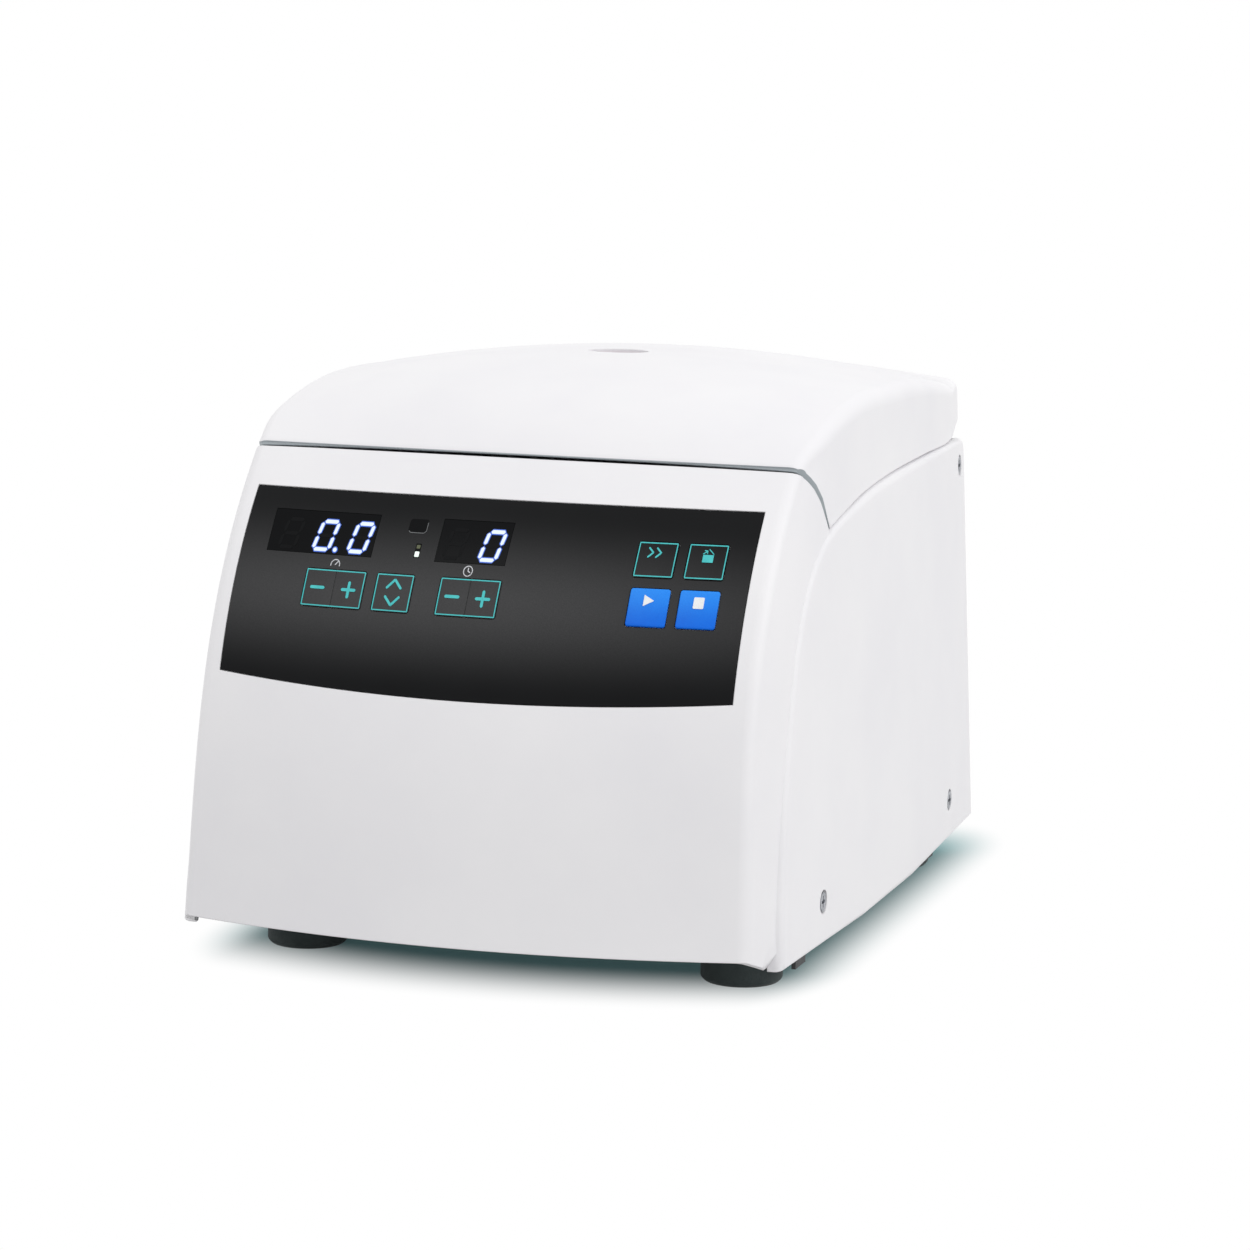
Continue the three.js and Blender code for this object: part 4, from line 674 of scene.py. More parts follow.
def glowing(name, tint, strength):
    """A lit print: its brightness varies a little, as a diode's window does."""
    made, tree, inputs = material(name)
    cloud = result(tree, "TexNoise", object_place(tree), Scale=900.0, Detail=2.0)
    level = result(tree, "MapRange", cloud, To_Min=1 - SPECK, To_Max=1 + SPECK / 3)
    glow = result(tree, "VectorMath", colour(*tint)[:3], operation="SCALE", Scale=level)
    for title, value in (("Base Color", (0.02, 0.02, 0.02, 1)), ("Roughness", 0.35), ("Emission Color", glow),
                         ("Emission Strength", strength)):
        fill(tree, inputs[title], value)
    return made


# Each finish has two near colours on screen and its least and greatest roughness. Lengths are in metres
MOULDED = {"patch": 14, "grain": 1900, "bump": 12e-6}
FILM = {"grain": 3800, "bump": 4e-6, "specular": 0.12}
PRINT = {"patch": 300, "edge": 0.0, "bump": 2e-6}
PAINT = {"grain": 1400, "bump": 2e-5}
white = surface("white_plastic", (238, 237, 240), (242, 241, 243), (0.42, 0.5), edge=6e-4, **MOULDED)
# Painted shade: a blue-grey copy of the white plastic, for the lid's turned-in lower front band
rim_painted_shade = surface("white_rim_painted_shade", (168, 176, 180), (178, 186, 190), (0.42, 0.5), edge=3e-4, **MOULDED)
white_inner = surface("white_inner", (226, 226, 229), (233, 233, 236), (0.5, 0.6), patch=20)
foil = surface("dark_foil", (7, 8, 10), (11, 12, 14), (0.4, 0.46), patch=26, edge=2e-4, **FILM)
lens = surface("smoked_lens", (6, 7, 9), (9, 10, 12), (0.2, 0.26), patch=40, bump=1e-6, edge=0.0,
               specular=0.07)
membrane = surface("dark_membrane", (8, 9, 11), (12, 13, 15), (0.4, 0.46), edge=3e-4, **FILM)
key_blue = surface("key_blue", (5, 98, 222), (9, 106, 228), (0.34, 0.42), patch=110, grain=3400, bump=6e-6,
                   edge=3e-4, specular=0.15)
# Painted highlight: the blue keys turn paler towards their top edge
painted_highlight_band(key_blue, (46, 150, 255), (0.072, -0.12, 0.1535), (0.3, 0.3, 0.0165), 0.97)
# Painted reflection: a paler band across the middle of the dark foil and key membranes, fading towards the
# sides
for film in (foil, membrane):
    painted_highlight_band(film, (71, 71, 72), (-0.035, -0.12, 0.144), (0.3, 0.5, 0.032), 0.95)
teal = surface("teal_print", (58, 190, 192), (70, 202, 202), (0.45, 0.55), **PRINT)
print_white = surface("white_print", (236, 238, 240), (244, 245, 247), (0.45, 0.55), **PRINT)
# Painted highlight: a paler grey line along the spare lens's lower and right edges
lens_highlight_grey = surface("lens_edge_highlight", (84, 86, 88), (98, 100, 102), (0.4, 0.5), **PRINT)
print_grey = surface("grey_print", (205, 208, 212), (218, 220, 224), (0.45, 0.55), **PRINT)
rubber = surface("rubber", (46, 56, 57), (60, 70, 70), (0.7, 0.85), patch=120, grain=2200, bump=3e-5,
                 edge=5e-4, sheen=0.15)
steel = surface("bright_steel", (188, 191, 196), (203, 206, 211), (0.24, 0.36), metal=1.0, patch=90,
                grain=1500, bump=3e-6, edge=3e-4, stretch=(1, 1, 6))
zinc = surface("zinc_plate", (150, 153, 158), (186, 188, 194), (0.36, 0.5), metal=1.0, patch=160, grain=900,
               bump=6e-6, edge=3e-4)
alloy = surface("turned_alloy", (203, 206, 211), (217, 220, 225), (0.22, 0.34), metal=1.0, patch=70,
                grain=1700, bump=4e-6, edge=3e-4, stretch=(1, 1, 8))
black_paint = surface("black_paint", (38, 39, 42), (48, 49, 52), (0.5, 0.64), edge=3e-4, **PAINT)
grey_paint = surface("grey_paint", (150, 153, 157), (156, 159, 163), (0.5, 0.62), patch=90, **PAINT)
liner_grey = surface("liner_grey", (206, 208, 212), (214, 216, 220), (0.5, 0.6), patch=30, grain=1900,
                     bump=12e-6)
board_green = surface("board_green", (22, 84, 52), (34, 104, 64), (0.35, 0.5), patch=240, grain=1200,
                      bump=1e-5, edge=2e-4)
black_plastic = surface("black_plastic", (30, 31, 33), (40, 41, 43), (0.42, 0.56), patch=80, grain=2000)
motor_iron = surface("motor_iron", (96, 99, 104), (122, 125, 130), (0.4, 0.55), metal=0.8, patch=90,
                     grain=900, bump=1e-5, edge=5e-4)
window_clear = surface("sight_glass", (206, 198, 204), (220, 213, 219), (0.1, 0.16), bump=1e-6, coat=0.6,
                       coat_rough=0.05)
digit_core = glowing("digit_core", (232, 244, 255), 1.05)
digit_halo = glowing("digit_halo", (36, 104, 232), 0.8)
digit_off = surface("digit_off", (10, 11, 13), (12, 13, 15), (0.3, 0.4), patch=200, edge=0.0, bump=1e-6,
                    specular=0.07)
light_on = glowing("light_on", (240, 255, 246), 1.1)
light_off = glowing("light_off", (96, 106, 40), 0.45)


def piece(item, name, body, look, replaces=(), weighted=True):
    """Turns a solid in millimetres into a named piece in metres that rides on a body."""
    item.name = name
    item.data.name = name
    reshape(item.data, scale_down)
    item.data.materials.clear()
    item.data.materials.append(look)
    if weighted:
        even = item.modifiers.new("even_normals", "WEIGHTED_NORMAL")
        even.keep_sharp = True
    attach(item, body)
    if replaces:
        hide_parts(*replaces)
    return item


def make_housing():
    notch = [(y - LID_GAP * 0.7, z - LID_GAP) for y, z in TONGUE_LINE]
    behind = TONGUE[3][0] + 2 * LID_GAP
    front = within(hull(shell_outline(SIDE_BOTTOM)),
                   drawn_x([(-PAST_Y, 0), (-PAST_Y, LID_LOW - LID_GAP), *notch, (behind, LEDGE_TOP),
                            (behind, 0)], -PAST_SIDE, PAST_SIDE))
    body = joined(front, loaf(wall_outline(SIDE_BOTTOM, 0), side_x, WALL_DEPTHS))
    low = SIDE_BOTTOM - OVERRUN
    wall_room = loaf(inset_outline(wall_outline(low, WALL_LIFT), WALL), lambda y, z: side_x(y, z) - WALL,
                     WALL_DEPTHS)
    room = joined(hull(shell_outline(low), WALL), wall_room)
    ledge = cut(block((-PAST_X, LEDGE_FRONT, LEDGE_TOP - LEDGE_THICK), (PAST_X, LEDGE_REAR, LEDGE_TOP)),
                drawn_z(plan(LEDGE_TOP, WALL + LEDGE_WIDE, -PAST_Y, PAST_Y), LEDGE_TOP - OVERRUN,
                        LEDGE_TOP + OVERRUN))
    corner = front_y(FRONT_BOTTOM) + front_bow(FRONT_BOTTOM)
    under = [(-PAST_Y, low), (ARCH[0][0], low), (ARCH[0][0], SIDE_BOTTOM), (corner, FRONT_BOTTOM),
             (-PAST_Y, FRONT_BOTTOM)]
    body = cut(body, cut(room, ledge), drawn_x(under, -PAST_SIDE, PAST_SIDE),
               panel_patch(CLEAR, OVERRUN, -PANEL_RECESS),
               *(square_patch(span, ROW_DISPLAY, -2, OVERRUN, -2 * WALL) for span in DISPLAYS.values()),
               block((-OPENING_HALF, HALF_DEPTH - OVERRUN, OPENING_LOW),
                     (OPENING_HALF, HALF_DEPTH + OVERRUN, OPENING_TOP)))
    for y, z in SCREWS.values():
        face = side_x(y, z)
        inner, past = face - WALL - BOSS_LAND, face + OVERRUN
        for side in (-1, 1):
            body = joined(body, cross_bar(BOSS_RADIUS, side * (face - WALL / 2), side * inner, y, z))
            body = cut(body, cross_bar(SCREW_HEAD, side * (face - SCREW_SUNK), side * past, y, z),
                       cross_bar(SCREW_HOLE, side * past, side * (inner - BOSS_RUN), y, z))
    piece(body, "housing_shell", "casing", white, ["housing"])


def lid_room():
    """The space over the joint line, with a chamfer where it meets the flanks."""
    boundary = TONGUE_LINE + spline([TONGUE[3]] + LID_SIDE, ARCH_STEPS)[1:]
    tip = Vector(TONGUE[3])
    outline = [(-PAST_Y, LID_LOW)] + boundary + [(PAST_Y, LID_SIDE[-1][1]), (PAST_Y, CREST + OVERRUN),
                                                 (-PAST_Y, CREST + OVERRUN)]
    inner, outer = [], []
    for index, (y, z) in enumerate(outline):
        if 1 <= index <= len(boundary):
            before, after = outline[index - 1], outline[index + 1]
            along = Vector((after[0] - before[0], after[1] - before[1])).normalized()
            inward = Vector((-along.y, along.x))
            depth = LID_RIM * min(1, (Vector((y, z)) - tip).length / RIM_FADE)
            if index > len(TONGUE_LINE):
                depth = min(depth, SIDE_RIM)
            flank = shell_x(y, z)
            inner.append((flank - depth, y, z))
            shift = inward * (depth + RIM_OUT * depth / LID_RIM)
            outer.append((flank + RIM_OUT, y + shift.x, z + shift.y))
        else:
            inner.append((HALF_BODY - 2 * OVERRUN, y, z))
            outer.append((HALF_BODY, y, z))
    far = [(HALF_BODY + OVERRUN, y, z) for x, y, z in outer]
    return prism([[(side * x, y, z) for x, y, z in ring] for ring, side in (
        (far, -1), (outer, -1), (inner, -1), (inner, 1), (outer, 1), (far, 1))])


WINDOW_RADIUS, WINDOW_STEP, WINDOW_BOSS = 12.0, 2.2, 3
WINDOW_SEAT = CREST - 1.2 - 3.5 - CLEAR
RIM_HIGH, RIM_REACH = 2.2, 2.4


def on_rim(middle, normal):
    """Whether a face of the lid belongs to the turned-in band along its lower front edge, which takes the
    painted shade.
    """
    if abs(normal.x) > 0.9:
        return False
    if middle.y < TONGUE_FRONT and middle.z < LID_LOW + RIM_HIGH:
        return normal.z < 0.1
    near = min(math.hypot(middle.y - y, middle.z - z) for y, z in TONGUE_LINE)
    return near < RIM_REACH and normal.y < -0.2 and normal.z < 0.2


def make_lid():
    plain, under = shell_outline(SIDE_BOTTOM), 60
    outline = roof_outline(LID_RIM) + closing(SIDE_BOTTOM)
    outline.append((front_y(under), under, front_bow(under), 0, FRONT_EDGE))
    body = within(cut(hull(outline), hull(plain, LID_WALL)), lid_room())
    boss_low = WINDOW_SEAT - WINDOW_STEP
    body = joined(body, within(post(WINDOW_RADIUS + WINDOW_BOSS, boss_low, CREST), hull(plain)))
    body = cut(body, post(WINDOW_RADIUS, WINDOW_SEAT, CREST + OVERRUN),
               post(WINDOW_RADIUS - WINDOW_STEP, boss_low - OVERRUN, CREST + OVERRUN))
    half = HINGE_LEAF / 2 + LID_GAP
    for x in (-HINGE_X, HINGE_X):
        body = cut(body, block((x - half, LID_REAR - LID_WALL - 2 * LID_GAP, SIDE_BOTTOM),
                               (x + half, LID_REAR + OVERRUN, HINGE_Z + HINGE_EYE + LID_GAP)))
    lid = piece(body, "lid_shell", "lid_group", white, ["lid"])
    # The lower front band's faces take the painted shade
    lid.data.materials.append(rim_painted_shade)
    for face in lid.data.polygons:
        if on_rim(face.center / MM, face.normal):
            face.material_index = 1


def make_foil():
    body, through = panel_patch(0, 0, -FOIL_THICK), 4
    for span, row in KEYS.values():
        ring = rounded_square((span[0] - CLEAR, span[1] + CLEAR), (row[0] - CLEAR, row[1] + CLEAR), 1.1)
        body = cut(body, prism([on_front(ring, -through), on_front(ring, through)]))
    for span, row in [(span, ROW_DISPLAY) for span in DISPLAYS.values()] + [(LIGHTS_X, LIGHTS_ROW)]:
        body = cut(body, square_patch(span, row, 0.15, through, -through))
    piece(body, "foil_face", "casing", foil, ["control_foil"])


def make_keys():
    for name, (span, row) in KEYS.items():
        raised = name in ("start", "stop")
        proud, corner, edge = (KEY_RAISED, 0.9, 0.45) if raised else (KEY_PROUD, 0.8, 0.18)
        rings = [on_front(rounded_square(span, row, corner, 0), proud - KEY_THICK)]
        for _, sine, cosine in quarter(4):
            rings.append(on_front(rounded_square(span, row, corner, edge * (1 - cosine)),
                                  proud - edge * (1 - sine)))
        piece(prism(rings), name + "_cap", name, key_blue if raised else membrane, [name + "_key"],
              weighted=False)


def make_windows():
    for node_name, span in DISPLAYS.items():
        item = square_patch(span, ROW_DISPLAY, 0, -0.05, -FOIL_THICK, 24, 8)
        piece(item, node_name.replace("_window", "_lens"), "casing", lens, [node_name])


# Printed and lit marks on the panel: thin closed slips that follow the front
SLIP_UNDER, SLIP_OVER, STROKE_RUN = 0.12, 0.035, 4
FRAME_WIDE, FRAME_IN, FRAME_SHARED = 0.38, 0.35, 0.1
SIGN_HALF, SIGN_GAP, SIGN_WIDE = 2.4, 0.3, 1.05


def shapes_piece(name, body, look, outlines, out):
    """One piece from several flat outlines on the front face."""
    places, faces = [], []
    for points in outlines:
        start, count = len(places), len(points)
        places += on_front(points, out - SLIP_UNDER) + on_front(points, out + SLIP_OVER)
        faces += [(start + index, start + after, start + count + after, start + count + index)
                  for index, after in around(count)]
        faces.append(tuple(range(start + count, start + 2 * count)))
        faces.append(tuple(range(start, start + count))[::-1])
    mesh = new_mesh(name, places, faces)
    reshape(mesh, turn_outward, split_wide)
    piece(placed(name, mesh), name, body, look, weighted=False)


def stroke(start, end, width):
    """Outline of a straight line with rounded ends."""
    start, end = Vector(start), Vector(end)
    along = (end - start).normalized()
    side = (Vector((-along.y, along.x)) * width / 2).normalized()
    points = []
    for middle, sign in ((end, 1), (start, -1)):
        for step in range(5):
            angle = -math.pi / 2 + math.pi * step / 4
            way = along * math.cos(angle) + side * math.sin(angle)
            points.append(tuple(middle + way * sign * width / 2))
    return points


def paths(width, *runs):
    """Outlines of the straight parts of lines, cut into short lengths so that they follow the front."""
    outlines = []
    for points in runs:
        for start, end in zip(points, points[1:]):
            start, end = Vector(start), Vector(end)
            count = max(1, math.ceil((end - start).length / STROKE_RUN))
            for step in range(count):
                outlines.append(stroke(start.lerp(end, step / count), start.lerp(end, (step + 1) / count),
                                       width))
    return outlines


def frame_line(span, row, sides):
    """The printed frame of a key, or those of its sides that a pair of keys shares out."""
    x0, x1 = (span[0] + (FRAME_IN if "left" in sides else FRAME_SHARED),
              span[1] - (FRAME_IN if "right" in sides else FRAME_SHARED))
    z0, z1 = row[0] + FRAME_IN, row[1] - FRAME_IN
    runs = {"left": [(x0, z0), (x0, z1)], "right": [(x1, z0), (x1, z1)], "top": [(x0, z1), (x1, z1)],
            "low": [(x0, z0), (x1, z0)]}
    return paths(FRAME_WIDE, *(runs[side] for side in sides))


def arc(middle, radius, start, end, steps):
    """Points round a middle between two angles in degrees."""
    angles = [math.radians(start + (end - start) * step / steps) for step in range(steps + 1)]
    return [(middle[0] + radius * math.cos(turn), middle[1] + radius * math.sin(turn)) for turn in angles]


def minus(x, z):
    return [stroke((x - SIGN_HALF, z), (x + SIGN_HALF, z), SIGN_WIDE)]


def plus(x, z):
    return minus(x, z) + [stroke((x, z - SIGN_HALF), (x, z - SIGN_GAP), SIGN_WIDE),
                          stroke((x, z + SIGN_GAP), (x, z + SIGN_HALF), SIGN_WIDE)]


def make_marks():
    marks = {
        "speed_down": minus(-64.2, 145.5), "speed_up": plus(-51.6, 145.3),
        "time_down": minus(-10.6, 145.5), "time_up": plus(1.3, 145.3),
        "unit": paths(0.85, [(-36.5, 147.1), (-33.8, 149.9), (-31.1, 147.1)],
                      [(-36.5, 144.0), (-33.8, 141.2), (-31.1, 144.0)]),
        "pulse": paths(0.55, [(59.4, 165.3), (61.1, 163.8), (59.4, 162.3)],
                       [(62.3, 165.3), (64.0, 163.8), (62.3, 162.3)]),
        "open": [[(79.4, 161.3), (83.3, 161.3), (83.3, 163.8), (79.4, 163.8)]]
        + paths(0.3, [(83.2, 164.1), (81.4, 165.6)], [(79.4, 164.1), (80.7, 165.0)],
                [(79.8, 165.2), (80.8, 165.1), (80.8, 164.3)]),
    }
    for name, outlines in marks.items():
        shared = {"down": "right", "up": "left"}.get(name.split("_")[-1])
        sides = [side for side in ("left", "right", "top", "low") if side != shared]
        shapes_piece(name + "_mark", name, teal, frame_line(*KEYS[name], sides) + outlines, KEY_PROUD)
    shapes_piece("start_mark", "start", print_white, [[(61.2, 145.8), (65.0, 147.7), (61.2, 149.6)]],
                 KEY_RAISED)
    shapes_piece("stop_mark", "stop", print_white, [rounded_square((79.3, 83.1), (145.7, 149.5), 0.4)],
                 KEY_RAISED)
    gauge = [arc((-59.1, 153.6), 1.75, -10, 190, 14), [(-59.1, 153.6), (-58.1, 154.8)]]
    clock = [arc((-6.6, 154.4), 1.7, 0, 360, 18), [(-6.6, 155.4), (-6.6, 154.4), (-5.8, 154.0)]]
    shapes_piece("display_marks", "casing", print_grey, paths(0.34, *gauge, *clock), 0)


SEGMENTS = {"top": ((-1, 1), (1, 1)), "high_left": ((-1, 0), (-1, 1)), "high_right": ((1, 0), (1, 1)),
            "middle": ((-1, 0), (1, 0)), "low_left": ((-1, -1), (-1, 0)), "low_right": ((1, -1), (1, 0)),
            "low": ((-1, -1), (1, -1))}
ZERO = ("top", "high_left", "high_right", "low_left", "low_right", "low")


def segment(middle, name, grow=0.0):
    """Outline of one bar of a slanted figure: a six-cornered slip with pointed ends."""
    half_wide, half_tall, slant, half = 3.15, 4.75, 0.2, 0.62
    (x0, z0), (x1, z1) = SEGMENTS[name]
    start = Vector((x0 * half_wide, z0 * half_tall))
    end = Vector((x1 * half_wide, z1 * half_tall))
    along = (end - start).normalized()
    side = Vector((-along.y, along.x)) * (half + grow)
    gap = 0.42 - grow
    start, end = start + along * gap, end - along * gap
    slope = along * (half + grow) * 0.75
    points = [start, start + slope - side, end - slope - side, end, end - slope + side, start + slope + side]
    return [(middle[0] + point.x + slant * point.y, middle[1] + point.y) for point in points]


def disc(middle, radius):
    return [(middle[0] + radius * math.cos(turn), middle[1] + radius * math.sin(turn)) for turn in turns(14)]


def make_figures():
    out, point = -0.02, (-60.7, 158.6)
    lit = [(-65.6, 163.2), (-51.4, 163.2), (0.5, 163.2)]
    dark = [(-79.8, 163.2), (-13.7, 163.2)]
    halo = [segment(middle, name, 0.34) for middle in lit for name in ZERO] + [disc(point, 1.15)]
    core = [segment(middle, name) for middle in lit for name in ZERO] + [disc(point, 0.75)]
    off = [segment(middle, "middle") for middle in lit] + [
        segment(middle, name) for middle in dark for name in SEGMENTS]
    shapes_piece("figure_halo", "casing", digit_halo, halo, out)
    shapes_piece("figure_core", "casing", digit_core, core, out + 0.04)
    shapes_piece("figure_off", "casing", digit_off, off, out - 0.015)
    lights = square_patch(LIGHTS_X, LIGHTS_ROW, 0, -0.05, -FOIL_THICK, 2, 4)
    piece(lights, "lights_lens", "casing", lens, ["unit_lights"])
    shapes_piece("light_lit", "casing", light_on, [rounded_square((-28.75, -27.05), (158.1, 159.9), 0.3)], 0)
    shapes_piece("light_dim", "casing", light_off, [rounded_square((-28.6, -27.2), (160.9, 162.1), 0.3)], 0)
    shapes_piece("spare_lens", "casing", lens, [rounded_square((-33.6, -26.2), (166, 170.7), 1.0)], 0.02)
    # Painted highlight along the spare lens's lower and right edges
    lit_rim = [(-33.2, 166.6), (-32.6, 166.1), (-27.2, 166.1), (-26.4, 166.8), (-26.4, 169.6)]
    shapes_piece("spare_edge_highlight", "casing", lens_highlight_grey, paths(0.28, lit_rim), 0.03)


# Bodies of revolution. Their profiles are (radius, height) points
def make_feet():
    profile = softened([(0, 0), (13.8, 0), (15.4, 1.6), (15.4, 10), (13.9, 11.7), (13.9, 16.7),
                        (0, 16.7)], 0.8)
    for side, x in (("left", -86.8), ("right", 86.8)):
        for end, y in (("front", -89.8), ("rear", 140)):
            piece(turned(profile, x, y, 72), f"{end}_{side}_pad", "casing", rubber, [f"{end}_{side}_foot"])


def make_window():
    low = WINDOW_SEAT + CLEAR
    top = low + 4.2
    radius = WINDOW_RADIUS - CLEAR
    profile = softened([(0, low), (radius, low), (radius, top), (radius - 1.3, top),
                        (radius - 1.9, top - 0.7), (0, top - 0.55)], 0.3, 3)
    piece(turned(profile, 0, ROTOR_Y, 96), "sight_lens", "lid_group", window_clear, ["sight_window"])


# What shows when the lid is open
BOWL, BOWL_WALL, BOWL_FLOOR, BOWL_ROUND, FLANGE_TOP, FLANGE, COLLAR, COLLAR_TALL = (
    94.0, 1.2, 112.0, 9, 173.2, 7, 17, 5)
FINE = 144


def round_piece(name, profile, soft, body, look, replaces):
    return piece(turned(softened(profile, soft), 0, ROTOR_Y, FINE), name, body, look, replaces)


def make_deck():
    under, skirt_low = DECK_TOP - 3, LEDGE_TOP + CLEAR
    below, above, past = skirt_low - OVERRUN, DECK_TOP + OVERRUN, 2 * HALF_DEPTH
    outline = plan(DECK_TOP, WALL + 0.5, front_y(DECK_TOP) + 2 * WALL, HALF_DEPTH - WALL - 0.5,
                   front_bow(DECK_TOP))
    hinge_half, striker_half, striker_front, striker_rear = 74, 3.3, -98.2, -84.6
    body = cut(drawn_z(outline, skirt_low, DECK_TOP),
               drawn_z(plan(DECK_TOP, WALL + 3, -past, past), below, under),
               block((-PAST_X, -past, below), (PAST_X, ARCH[4][0], under)),
               block((-hinge_half, HINGE_Y, below), (hinge_half, past, under)),
               post(BOWL - BOWL_WALL, under - OVERRUN, above, FINE),
               block((-striker_half, striker_front, under - OVERRUN), (striker_half, striker_rear, above)),
               cross_bar(SCREW_HOLE, -140, 140, *SCREWS["top"]))
    piece(body, "deck_tray", "casing", white_inner, ["deck"])


def make_bowl():
    outer, inner_floor = BOWL + BOWL_WALL, BOWL_FLOOR + BOWL_WALL
    middle = (BOWL - BOWL_ROUND, inner_floor + BOWL_ROUND)
    profile = [(COLLAR, BOWL_FLOOR), *arc(middle, BOWL_ROUND + BOWL_WALL, -90, 0, 12),
               (outer, FLANGE_TOP - BOWL_WALL), (outer + FLANGE, FLANGE_TOP - BOWL_WALL),
               (outer + FLANGE, FLANGE_TOP), (BOWL, FLANGE_TOP), *arc(middle, BOWL_ROUND, 0, -90, 12),
               (COLLAR + BOWL_WALL, inner_floor), (COLLAR + BOWL_WALL, BOWL_FLOOR + COLLAR_TALL),
               (COLLAR, BOWL_FLOOR + COLLAR_TALL)]
    piece(turned(profile, 0, ROTOR_Y, FINE), "bowl_skin", "casing", steel, ["chamber_bowl"])
    low, inner = DECK_TOP + CLEAR, BOWL - CLEAR
    round_piece("seal_ring", [(inner, low), (inner + 4, low), (inner + 4, low + 1.35), (inner + 2, low + 4.7),
                              (inner, low + 4.7)], 0.9, "casing", rubber, ["chamber_seal"])


def make_rotor():
    profile = [(5.3, 130), (15, 130), (15, 136.5), (16.5, 138), (86.5, 139.5), (88, 141), (88, 152.5),
               (86.5, 154), (84.9, 154), (83.4, 152.5), (83.4, 144.2), (80.4, 144.2), (80.4, 147), (5.3, 147)]
    body = turned(softened(profile, 0.5), 0, ROTOR_Y, FINE)
    slots, half, floor, top, start, end = 24, 1.1, 145.7, 149.4, 17, 80.7
    for turn in turns(slots):
        slot = joined(bar(half, (start, 0, floor), (end, 0, floor), 16),
                      block((start, -half, floor), (end, half, top)))
        slot.data.transform(Matrix.Translation((0, ROTOR_Y, 0)) @ Matrix.Rotation(turn, 4, "Z"))
        body = cut(body, slot)
    piece(body, "rotor_disc", "rotor_group", alloy, ["rotor"])
    round_piece("gasket_ring", [(80.7, 144.5), (83.1, 144.5), (83.1, 150.5), (80.7, 150.5)], 0.7,
                "rotor_group", rubber, ["rotor_gasket"])
    round_piece("cover_plate", [(4.3, 147.3), (80.1, 147.3), (80.1, 150.5), (78.1, 150.5), (76.1, 149.3),
                                (4.3, 149.3)], 0.5, "rotor_group", alloy, ["rotor_cover"])
    knob = turned(softened([(4.3, 149.6), (14, 149.6), (14, 166.6), (12, 168.6), (0, 168.6), (0, 160.6),
                            (4.3, 160.6)], 1.2, 6), 0, ROTOR_Y, 96)
    grips, grip_radius, grip_out, grip_low, grip_top = 8, 4, 16, 154.35, 180
    for turn in turns(grips):
        x, y = grip_out * math.cos(turn), ROTOR_Y + grip_out * math.sin(turn)
        knob = cut(knob, bar(grip_radius, (x, y, grip_low), (x, y, grip_top), 32))
    piece(knob, "knob_cap", "knob", black_plastic, ["cover_knob"])


def make_liner():
    low, thick, front, tube, bore = 181.8, 2.5, -97, 11.6, 9.8
    tube_top = WINDOW_SEAT - WINDOW_STEP - CLEAR
    body = joined(drawn_z(plan(low, WALL + 1, front, LEDGE_REAR, BOW_TOP), low, low + thick),
                  post(tube, low, tube_top))
    body = cut(body, post(bore, low - OVERRUN, tube_top + OVERRUN))
    piece(body, "liner_sheet", "lid_group", liner_grey, ["lid_liner"])


def make_base():
    low, thick, front, bend, rise, set_in = 17, 2, -146, 25, 3.4, 0.9
    # The plate's front is turned up, so that the front's lower edge hides it
    side = [(front, low + rise), (front + bend, low), (HALF_DEPTH, low), (HALF_DEPTH, low + thick),
            (front + bend, low + thick), (front, low + rise + thick)]
    plate = drawn_z(plan(low, WALL + set_in, front, HALF_DEPTH - WALL - set_in), low - 1, low + rise + 3)
    body = within(plate, drawn_x(side, -HALF_BODY, HALF_BODY))
    tab_half, tab_thick, tab_tall, tab_gap, foot_in, foot_low = 7, 1.6, 26, 1.4, 3.6, 9
    for y, z in (SCREWS["front"], SCREWS["rear"]):
        face = side_x(y, z) - WALL - tab_gap
        for side in (-1, 1):
            near, far = sorted((side * face, side * (face - tab_thick)))
            shift = side * foot_in
            body = joined(body, block((near, y - tab_half, low), (far, y + tab_half, low + tab_tall)),
                          block((near - shift, y - tab_half, low - foot_low),
                                (far - shift, y + tab_half, low + 1)))
            body = cut(body, cross_bar(SCREW_HOLE, near - OVERRUN, far + OVERRUN, y, z))
    piece(body, "base_tray", "casing", black_paint, ["base_pan"])


# Lamps: azimuth and elevation of the place in degrees, distance and size in metres, power in watts
LAMPS = {
    "key": (-26, 52, 2.4, 0.9, 4.0),
    "right": (86, 28, 2.4, 1.4, 9.2),
    "edge": (78, 6, 2.4, 1.2, 4.0),
}
LAMP_AIM = Vector((0, 0, 0.1))
SKY = 0.9


# Painted shadow, partly real: the floor's dark green-grey seen near the object, which also takes the real
# shadow, its white far off, and the fade between them round the footprint, in metres
FLOOR_SHADOW_SEEN, FLOOR_LIT, FLOOR_SHADOW_GLOW = (0.27, 0.46, 0.47, 1), (0.5, 0.5, 0.5, 1), (0.024, 0.046, 0.048, 1)
FLOOR_HALF, BEND_ASIDE, BEND = 12, 0.012, (0, -1.69, 0)
SHADOW_MIDDLE, SHADOW_HALF, SHADOW_RUN = (-0.004, 0.04, 0), (0.099, 0.13, 0), (0.032, 0.07, 1)


def seen_rays(tree):
    """1 where the camera sees a surface, by itself or in or through another."""
    rays = node(tree, "LightPath").outputs
    seen = rays["Is Camera Ray"]
    for ray in ("Is Glossy Ray", "Is Transmission Ray"):
        seen = result(tree, "Math", seen, rays[ray], operation="MAXIMUM")
    return seen


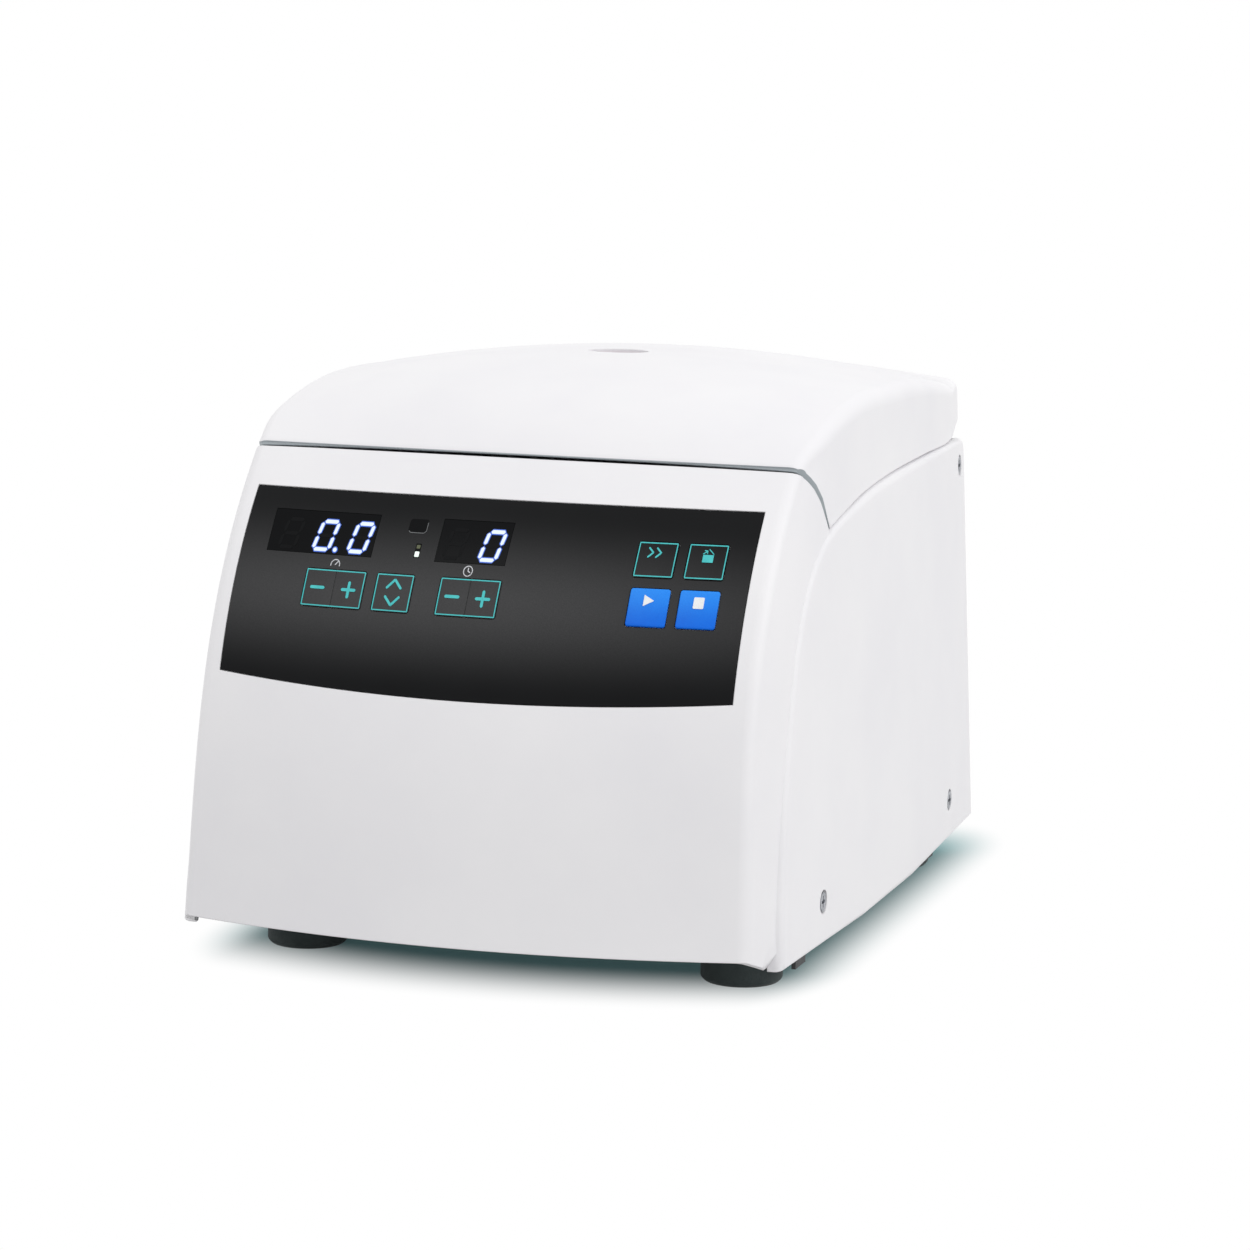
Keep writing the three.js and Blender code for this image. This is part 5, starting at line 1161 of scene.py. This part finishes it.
def make_floor():
    corners = ((-FLOOR_HALF, -FLOOR_HALF), (FLOOR_HALF, -FLOOR_HALF), (FLOOR_HALF, FLOOR_HALF),
               (-FLOOR_HALF, FLOOR_HALF))
    mesh = new_mesh("floor", [(x, y, 0) for x, y in corners], [(0, 1, 2, 3)])
    floor = placed("floor", mesh)
    look, tree, _ = material("floor")
    tree.nodes.remove(tree.nodes["Principled BSDF"])
    seen = seen_rays(tree)
    shade = result(tree, "Mix", data_type="RGBA", Factor=seen, A=FLOOR_LIT, B=FLOOR_SHADOW_SEEN)
    near = result(tree, "AddShader", result(tree, "BsdfDiffuse", shade),
                  result(tree, "Emission", FLOOR_SHADOW_GLOW, seen))
    far = result(tree, "Emission", (1, 1, 1, 1))
    # The painted shadow draws back towards the two front corners
    place = node(tree, "NewGeometry").outputs["Position"]
    across, along, _ = node(tree, "SeparateXYZ", place).outputs
    aside = result(tree, "Math", across, BEND_ASIDE, operation="ADD")
    draw = result(tree, "Math", aside, aside, operation="MULTIPLY")
    front = result(tree, "Math", along, 0.0, operation="LESS_THAN")
    shift = result(tree, "CombineXYZ", Y=result(tree, "Math", draw, front, operation="MULTIPLY"))
    bent = result(tree, "VectorMath", shift, BEND, place, operation="MULTIPLY_ADD")
    reach = vector_steps(tree, bent, ("SUBTRACT", SHADOW_MIDDLE), ("ABSOLUTE",), ("SUBTRACT", SHADOW_HALF),
                         ("MAXIMUM", (0, 0, 0)), ("DIVIDE", SHADOW_RUN), ("LENGTH",))
    fade = result(tree, "MapRange", reach, interpolation_type="SMOOTHSTEP")
    away = result(tree, "Math", fade, seen, operation="MULTIPLY")
    fill(tree, tree.nodes["Material Output"].inputs["Surface"], result(tree, "MixShader", away, near, far))
    mesh.materials.append(look)


def make_lights():
    world = bpy.data.worlds.new("studio")
    bpy.context.scene.world = world
    world.use_nodes = True
    tree = world.node_tree
    sky = tree.nodes["Background"].inputs
    fill(tree, sky["Color"], (1, 1, 1, 1))
    fill(tree, sky["Strength"], result(tree, "MapRange", seen_rays(tree), To_Min=SKY, To_Max=1.0))
    for name, (azimuth, elevation, distance, size, power) in LAMPS.items():
        data = bpy.data.lights.new(name, "AREA")
        data.shape, data.size, data.energy = "DISK", size, power
        lamp = placed(name, data)
        way = direction(azimuth, elevation)
        lamp.location = LAMP_AIM + way * distance
        lamp.rotation_euler = way.to_track_quat("Z", "Y").to_euler()


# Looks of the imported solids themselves. Those not named here are zinc or, on mounts and feet, rubber
NODE_LOOKS = (
    (liner_grey, "lid_liner"), (white_inner, "deck"), (alloy, "rotor rotor_cover"), (motor_iron, "motor"),
    (steel, "chamber_bowl spindle lock_bolt"), (rubber, "chamber_seal shaft_seal rotor_gasket"),
    (grey_paint, "lock_solenoid rear_panel"), (board_green, "control_board power_board"),
    (black_plastic, "cover_knob lock_housing speed_display time_display"), (black_paint, "base_pan"),
    (black_plastic, "power_inlet fuse_drawer power_rocker"),
)
looks = {name: look for look, names in NODE_LOOKS for name in names.split()}
for name, item in nodes.items():
    usual = rubber if "mount" in name or "foot" in name else zinc
    item.data.materials.clear()
    item.data.materials.append(looks.get(name, usual))

for make in (make_housing, make_lid, make_foil, make_keys, make_windows, make_marks, make_figures, make_feet,
             make_window, make_deck, make_bowl, make_rotor, make_liner, make_base, make_floor, make_lights):
    make()

scene = bpy.context.scene
scene.view_settings.view_transform = "Standard"
